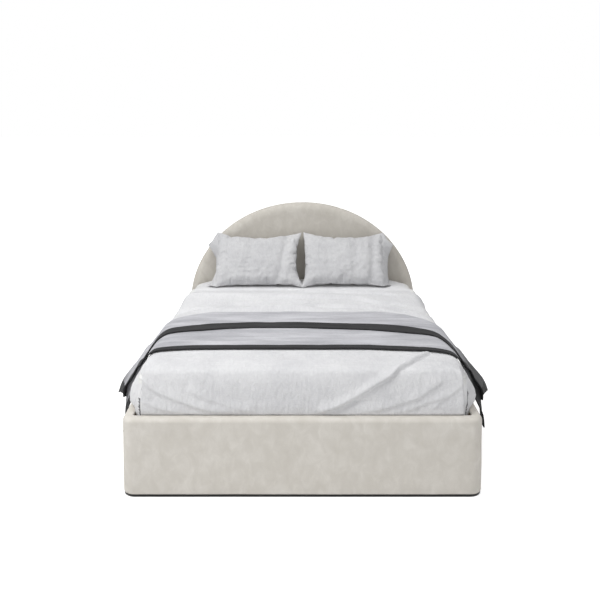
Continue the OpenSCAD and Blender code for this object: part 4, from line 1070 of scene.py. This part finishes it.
def cap(half, middle, inward, edge, corner):
    """A cap_grid with heights. It's level over the insets inward, and goes on over the edge's points, each
    (inset, height)."""
    z = np.concatenate([np.full(len(inward), edge[0, 1]), edge[:, 1]])
    plan, ring = cap_grid(half, middle, np.concatenate([inward, edge[:, 0]]), corner)
    return np.dstack([plan, z[ring]])


def make_mattress():
    lo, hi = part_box("mattress")
    inside = 0.0004
    half = (hi[0] - inside, (hi[1] - lo[1]) / 2 - inside)
    middle = (hi[1] + lo[1]) / 2
    top, bottom = hi[2] - inside, lo[2] + inside / 2
    edge = [(0.10, top), (0.05, top), (0.020, top - 0.0015), (0.007, top - 0.006), (0.0012, top - 0.010),
            (0.0060, top - 0.017), (0.0005, top - 0.030), (0.0, (top + bottom) / 2), (0.0005, bottom + 0.030),
            (0.0060, bottom + 0.017), (0.0012, bottom + 0.010), (0.007, bottom + 0.005),
            (0.020, bottom + 0.001), (0.05, bottom), (0.10, bottom)]
    edge = spline(edge, 52)
    inward = np.linspace(half[0], 0.11, 30)
    # Two shells that meet on the side, above the lower tape
    meet = 39
    upper = cap(half, middle, inward, edge[:meet + 1], 0.045)
    lower = cap(half, middle, inward, edge[:meet - 1:-1], 0.045)
    count = upper.shape[0] * upper.shape[1]
    faces = np.vstack([grid_faces(*upper.shape[:2]), grid_faces(*lower.shape[:2])[:, ::-1] + count])
    points = np.vstack([upper.reshape(-1, 3), lower.reshape(-1, 3)])
    points[:, 2] -= head_droop(points)
    block = mesh_object("mattress_block", points, faces, [TICKING], "platform")
    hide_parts("mattress")


make_mattress()


def make_sheet():
    lo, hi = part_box("fitted_sheet")
    half = (hi[0], (hi[1] - lo[1]) / 2)
    middle = (hi[1] + lo[1]) / 2
    top, bottom = hi[2], lo[2] + 0.002
    edge = spline([(0.14, top), (0.070, top - 0.0002), (0.035, top - 0.003), (0.014, top - 0.011),
                   (0.003, top - 0.028), (0.0, top - 0.060), (0.0, (top + bottom) / 2), (0.0, bottom + 0.02),
                   (0.0012, bottom)], 44)
    grid = cap(half, middle, np.linspace(half[0], 0.15, 50), edge, 0.050)
    p = grid.reshape(-1, 3)
    side = smooth((top - 0.01 - p[:, 2]) / 0.05)
    pucker = -0.0012 * np.abs(fractal(p, (0.035, 0.035, 0.20), 2, 91)) * side
    pucker -= 0.0010 * np.abs(fractal(p, (0.25, 0.05, 1), 2, 95)) * (1 - side)
    p = p + grid_normals(grid).reshape(-1, 3) * pucker[:, None]
    p[:, 2] -= head_droop(p)
    sheet = skin("bed_sheet", p.reshape(grid.shape), [SHEET], "platform")
    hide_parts("fitted_sheet")


make_sheet()


# Pillows

PILLOW_W, PILLOW_H, PILLOW_T = 0.690, 0.480, 0.150
PILLOW_LEAN = math.radians(47)
PILLOW_FOOT_Y = 0.664
PILLOW_GAP = 0.008
FLAP_W = 0.092
# The sack that is filled before it is fitted to the pillow
SACK_SIZE = (0.66, 0.50)
SACK_VOLUME = 0.020


def sack(width, height, step, seed):
    """Two cloth panels sewn together all round: x across, y up, z towards the front.

    Returns its points, its faces, and where the back panel's points are."""
    nx, ny = int(width / step) + 1, int(height / step) + 1
    a, b = np.meshgrid(np.linspace(-1, 1, nx), np.linspace(-1, 1, ny), indexing="ij")
    flat = np.dstack([a * width / 2, b * height / 2, 0 * a])
    crown = np.sqrt((1 - a**2) * (1 - b**2))
    panels = []
    for sign, shift in ((1, 0), (-1, 5)):
        rough = 0.006 * fractal(flat + shift, 0.07, 2, seed) * np.minimum(crown * 3, 1)
        panels.append((flat + (0, 0, 1) * (sign * (0.030 * crown + rough))[:, :, None]).reshape(-1, 3))
    rim = (np.maximum(abs(a), abs(b)) > 0.9999).ravel()
    count = nx * ny
    back = np.where(rim, np.arange(count), count + np.cumsum(~rim) - 1)
    faces = grid_faces(nx, ny)
    points = np.vstack([panels[0], panels[1][~rim]])
    return points, np.vstack([faces, back[faces][:, ::-1]]), back, (nx, ny)


def inflated(points, faces, volume, frames):
    """The sack's points after cloth simulation has filled it to a volume in cubic metres."""
    mesh = bpy.data.meshes.new("sack")
    mesh.from_pydata([tuple(p) for p in points], [], [tuple(f) for f in faces])
    thing = placed("sack", mesh)
    cloth = thing.modifiers.new("cloth", "CLOTH")
    settings = cloth.settings
    settings.quality = 6
    settings.mass = 0.3
    for kind, stiffness, damping in (("tension", 40, 5), ("compression", 40, 5), ("shear", 16, 5),
                                     ("bending", 0.5, 0.5)):
        setattr(settings, kind + "_stiffness", stiffness)
        setattr(settings, kind + "_damping", damping)
    settings.use_pressure = True
    settings.uniform_pressure_force = 10
    settings.use_pressure_volume = True
    settings.target_volume = volume
    settings.effector_weights.gravity = 0
    cloth.point_cache.frame_start = 1
    cloth.point_cache.frame_end = frames
    for step in range(1, frames + 1):
        scene.frame_set(step)
    got = thing.evaluated_get(bpy.context.evaluated_depsgraph_get())
    out = np.empty(len(got.data.vertices) * 3)
    got.data.vertices.foreach_get("co", out)
    bpy.data.objects.remove(thing)
    bpy.data.meshes.remove(mesh)
    scene.frame_set(1)
    return out.reshape(-1, 3)


def pillow_panels(seed, body, straighter, creases, notches):
    """The stuffed part's front and rear panels as grids of points, and the grid's places from -1 to 1."""
    points, faces, back, (nx, ny) = sack(*SACK_SIZE, 0.008, seed)
    points = inflated(points, faces, SACK_VOLUME, 40)
    points = points - (points.max(axis=0) + points.min(axis=0)) / 2
    size = points.max(axis=0) - points.min(axis=0)
    points = points * (np.array([body, PILLOW_H, PILLOW_T]) / size)
    points[:, 0] += (body - PILLOW_W) / 2
    front = points[:nx * ny].reshape(nx, ny, 3)
    rear = points[back].reshape(nx, ny, 3).copy()
    a, b = np.meshgrid(np.linspace(-1, 1, nx), np.linspace(-1, 1, ny), indexing="ij")
    # The seam at the open end runs straighter than the others, and the lower corners are blunt
    open_bend, inner_bend = [front[end, :, 0] - np.interp(b[0], [-1, 1], front[end, [0, -1], 0])
                             for end in (-1, 0)]
    for face in (front, rear):
        face[:, :, 0] -= 0.65 * open_bend[None, :] * smooth((a - 0.2) / 0.8)
        face[:, :, 0] -= straighter * inner_bend[None, :] * smooth((-a - 0.2) / 0.8)
        face[:, :, 0] -= np.where(a > 0, 0.020, -0.016) * a ** 3 * smooth((-b - 0.6) / 0.4)
        face[:, :, 1] -= 0.018 * (1 - a ** 2) * smooth((b - 0.2) / 0.8)
        face[:, :, 1] += 0.005 * smooth((-b - 0.3) / 0.7)
        face[:, :, 2] *= 1 + 0.25 * smooth((-b - 0.5) / 0.4)
        for at, drop in notches:
            pinch = drop * np.exp(-((face[:, :, 0] - at) / 0.011) ** 2)
            face[:, :, 1] -= pinch * smooth((b - 0.80) / 0.2)
            face[:, :, 2] *= 1 - 6.0 * pinch * smooth((b - 0.35) / 0.6)
    # The seam at the open end is evened out
    near = 4
    window = np.ones(2 * near + 1) / (2 * near + 1)
    even = np.stack([np.convolve(np.pad(row, near, "edge"), window, "valid") for row in front[-1].T], axis=1)
    shift = (even - front[-1]) * smooth((1 - abs(b[0])) / 0.1)[:, None]
    for face in (front, rear):
        face += shift[None, :, :] * smooth((a - 0.75) / 0.25)[:, :, None]
    for top_x, low_x, depth, width in creases:
        middle = mix(low_x, top_x, front[:, :, 1] / PILLOW_H + 0.5)
        hollow = depth * np.exp(-((front[:, :, 0] - middle) / width) ** 2)
        front[:, :, 2] -= hollow * smooth(front[:, :, 2] / 0.03)
    place = np.stack([front[:, :, 0] + seed, front[:, :, 1], 0 * a], axis=-1)
    radial = np.abs(fractal(place, (0.050, 0.120, 1), 3, seed + 5)) * smooth((abs(b) - 0.40) / 0.40)
    small = np.abs(fractal(place, (0.045, 0.035, 1), 3, seed + 9))
    front[:, :, 2] -= (0.0070 * small + 0.0100 * radial) * smooth(front[:, :, 2] / 0.012)
    return front, rear, b[0]


def open_end(front, rear, b, reach, seed):
    """The panels with the case's open end added, which stands out past the seam and droops."""
    count = 10
    low_end = smooth((-b - 0.55) / 0.45)
    out = np.interp(b, [-1.0, -0.8, -0.4, 0.3, 0.8, 1.0], reach[::-1])
    droop = np.sqrt(np.maximum(FLAP_W**2 - out**2, 0.0001))
    strips = []
    for share in np.arange(1, count + 1) / count:
        strip = front[-1].copy()
        strip[:, 0] += out * share
        strip[:, 2] -= droop * share ** 1.6
        strip[:, 1] += share * (0.042 * low_end - 0.050 * smooth((b - 0.1) / 0.9))
        strip[:, 2] += 0.004 * np.sin(b * 9 + seed + share * 2) * share
        strips.append(strip)
    flap = np.array(strips)
    gap = 0.0020 * np.minimum(1, (1 - abs(b)) * 12)[None, :, None] * np.array([0, 0, 1])
    gap = np.repeat(gap, count, axis=0)
    gap[-1] = 0
    front[-1, 1:-1, 2] += 0.001
    rear[-1, 1:-1, 2] -= 0.001
    return np.concatenate([front, flap + gap]), np.concatenate([rear, flap - gap])


def sewn(front, rear):
    """Points and faces of the two panels, joined round their outline."""
    rows, columns = front.shape[:2]
    index = np.arange(rows * columns).reshape(rows, columns)
    rear_index = index + rows * columns
    for edge in ((0, slice(None)), (-1, slice(None)), (slice(None), 0), (slice(None), -1)):
        rear_index[edge] = index[edge]
    quads = grid_faces(rows, columns)
    quads = np.vstack([quads, rear_index.ravel()[quads][:, ::-1]])
    p = np.vstack([front.reshape(-1, 3), rear.reshape(-1, 3)])
    used = np.unique(quads)
    renumber = np.zeros(len(p), int)
    renumber[used] = np.arange(len(used))
    return p[used], renumber[quads]


def make_pillow(side, seed, body, straighter, reach, creases, notches):
    """A stuffed pillow in a case whose open end stands out beyond its seam, on the bed's outer side.

    body is its width up to the seam, and straighter says how much the inner side is straightened. reach is
    how far the open end stands out at heights from the top down. creases are soft hollows in the
    front: x at the top, x at the bottom, depth and half width, in the pillow's own frame. notches are the
    places along the top where the seam puckers: x and depth."""
    front, rear, b = pillow_panels(seed, body, straighter, creases, notches)
    p, quads = sewn(*open_end(front, rear, b, reach, seed))
    if side < 0:
        p[:, 0] *= -1
        quads = quads[:, ::-1]
    # It is fuller at the bottom than at the top, and leans on the headboard
    p[:, 2] *= 1 - 0.28 * p[:, 1] / PILLOW_H
    lean = np.array(Matrix.Rotation(PILLOW_LEAN, 3, "X"))
    p = (p + (0, PILLOW_H / 2, 0)) @ lean.T
    p[:, 2] = np.maximum(p[:, 2] + 0.001, 0.0004 * (1 + np.sin(p[:, 0] * 40)))
    p += (side * (PILLOW_W + PILLOW_GAP) / 2, PILLOW_FOOT_Y, SHEET_TOP + CLOTH_GAP)
    label = "left" if side < 0 else "right"
    pillow = mesh_object("pillow_case_" + label, p, quads, [PILLOW], "platform")
    m = pillow.modifiers.new("smoother", "SUBSURF")
    m.levels = m.render_levels = 1
    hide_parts("pillow_" + label)


make_pillow(-1, 7, 0.640, 0.15, (0.052, 0.082, 0.024, 0.012, 0.050, 0.080),
            [(-0.255, -0.165, 0.018, 0.028), (0.020, 0.060, 0.008, 0.035), (0.205, 0.190, 0.008, 0.020)],
            [(-0.060, 0.008), (0.010, 0.012), (0.105, 0.004), (0.190, 0.006)])
make_pillow(1, 12, 0.604, 0.60, (0.052, 0.086, 0.052, 0.036, 0.040, 0.064),
            [(0.190, 0.150, 0.018, 0.028), (0.050, 0.030, 0.012, 0.034), (-0.190, -0.120, 0.007, 0.028)],
            [(-0.235, 0.006), (-0.110, 0.012), (0.010, 0.010), (0.120, 0.006)])


# Small cloth parts

def make_strap():
    lo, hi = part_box("lift_strap")
    y0, y1, z0, z1 = lo[1], lo[1] + 0.0036, lo[2], hi[2]
    web = 0.0011
    mid = (y0 + y1) / 2
    half_gap = (y1 - y0 - web) / 2
    points = [(mid + half_gap, z0 + 0.001), (mid + half_gap, mix(z0, z1, 0.5)), (mid + half_gap, z1 - 0.008),
              (mid + half_gap * 0.6, z1 - 0.0022), (mid, z1 - 0.0008), (mid - half_gap * 0.6, z1 - 0.0022),
              (mid - half_gap, z1 - 0.008), (mid - half_gap, mix(z0, z1, 0.5)), (mid - half_gap, z0 + 0.001)]
    loop = spline(points, 70)
    x = np.linspace(lo[0] + 0.0004, hi[0] - 0.0004, 12)
    grid = np.zeros((len(loop), len(x), 3))
    grid[:, :, 0] = x[None, :]
    grid[:, :, 1] = loop[:, 0, None]
    grid[:, :, 2] = loop[:, 1, None]
    strap = skin("strap_loop", grid, [WEBBING], "platform")
    thicken(strap, web)
    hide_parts("lift_strap")


make_strap()


def make_base_lining():
    lo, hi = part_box("base_lining")
    cut = CORNER_R - RAIL_T
    x, y = np.meshgrid(np.linspace(lo[0], hi[0], 60), np.linspace(lo[1], hi[1], 76), indexing="ij")
    over = np.maximum(abs(x) - (hi[0] - cut) + (lo[1] + cut - y), 0) * (y < lo[1] + cut)
    x = x - np.sign(x) * over / 2
    y = y + over / 2
    z = lo[2] + 0.0010 + 0.0004 * fractal(np.dstack([x, y, 0 * x]), (0.16, 0.3, 1), 2, 14)
    lining = skin("base_cloth", np.dstack([x, y, z]), [LINING], "base", flip=True)
    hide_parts("base_lining")


make_base_lining()
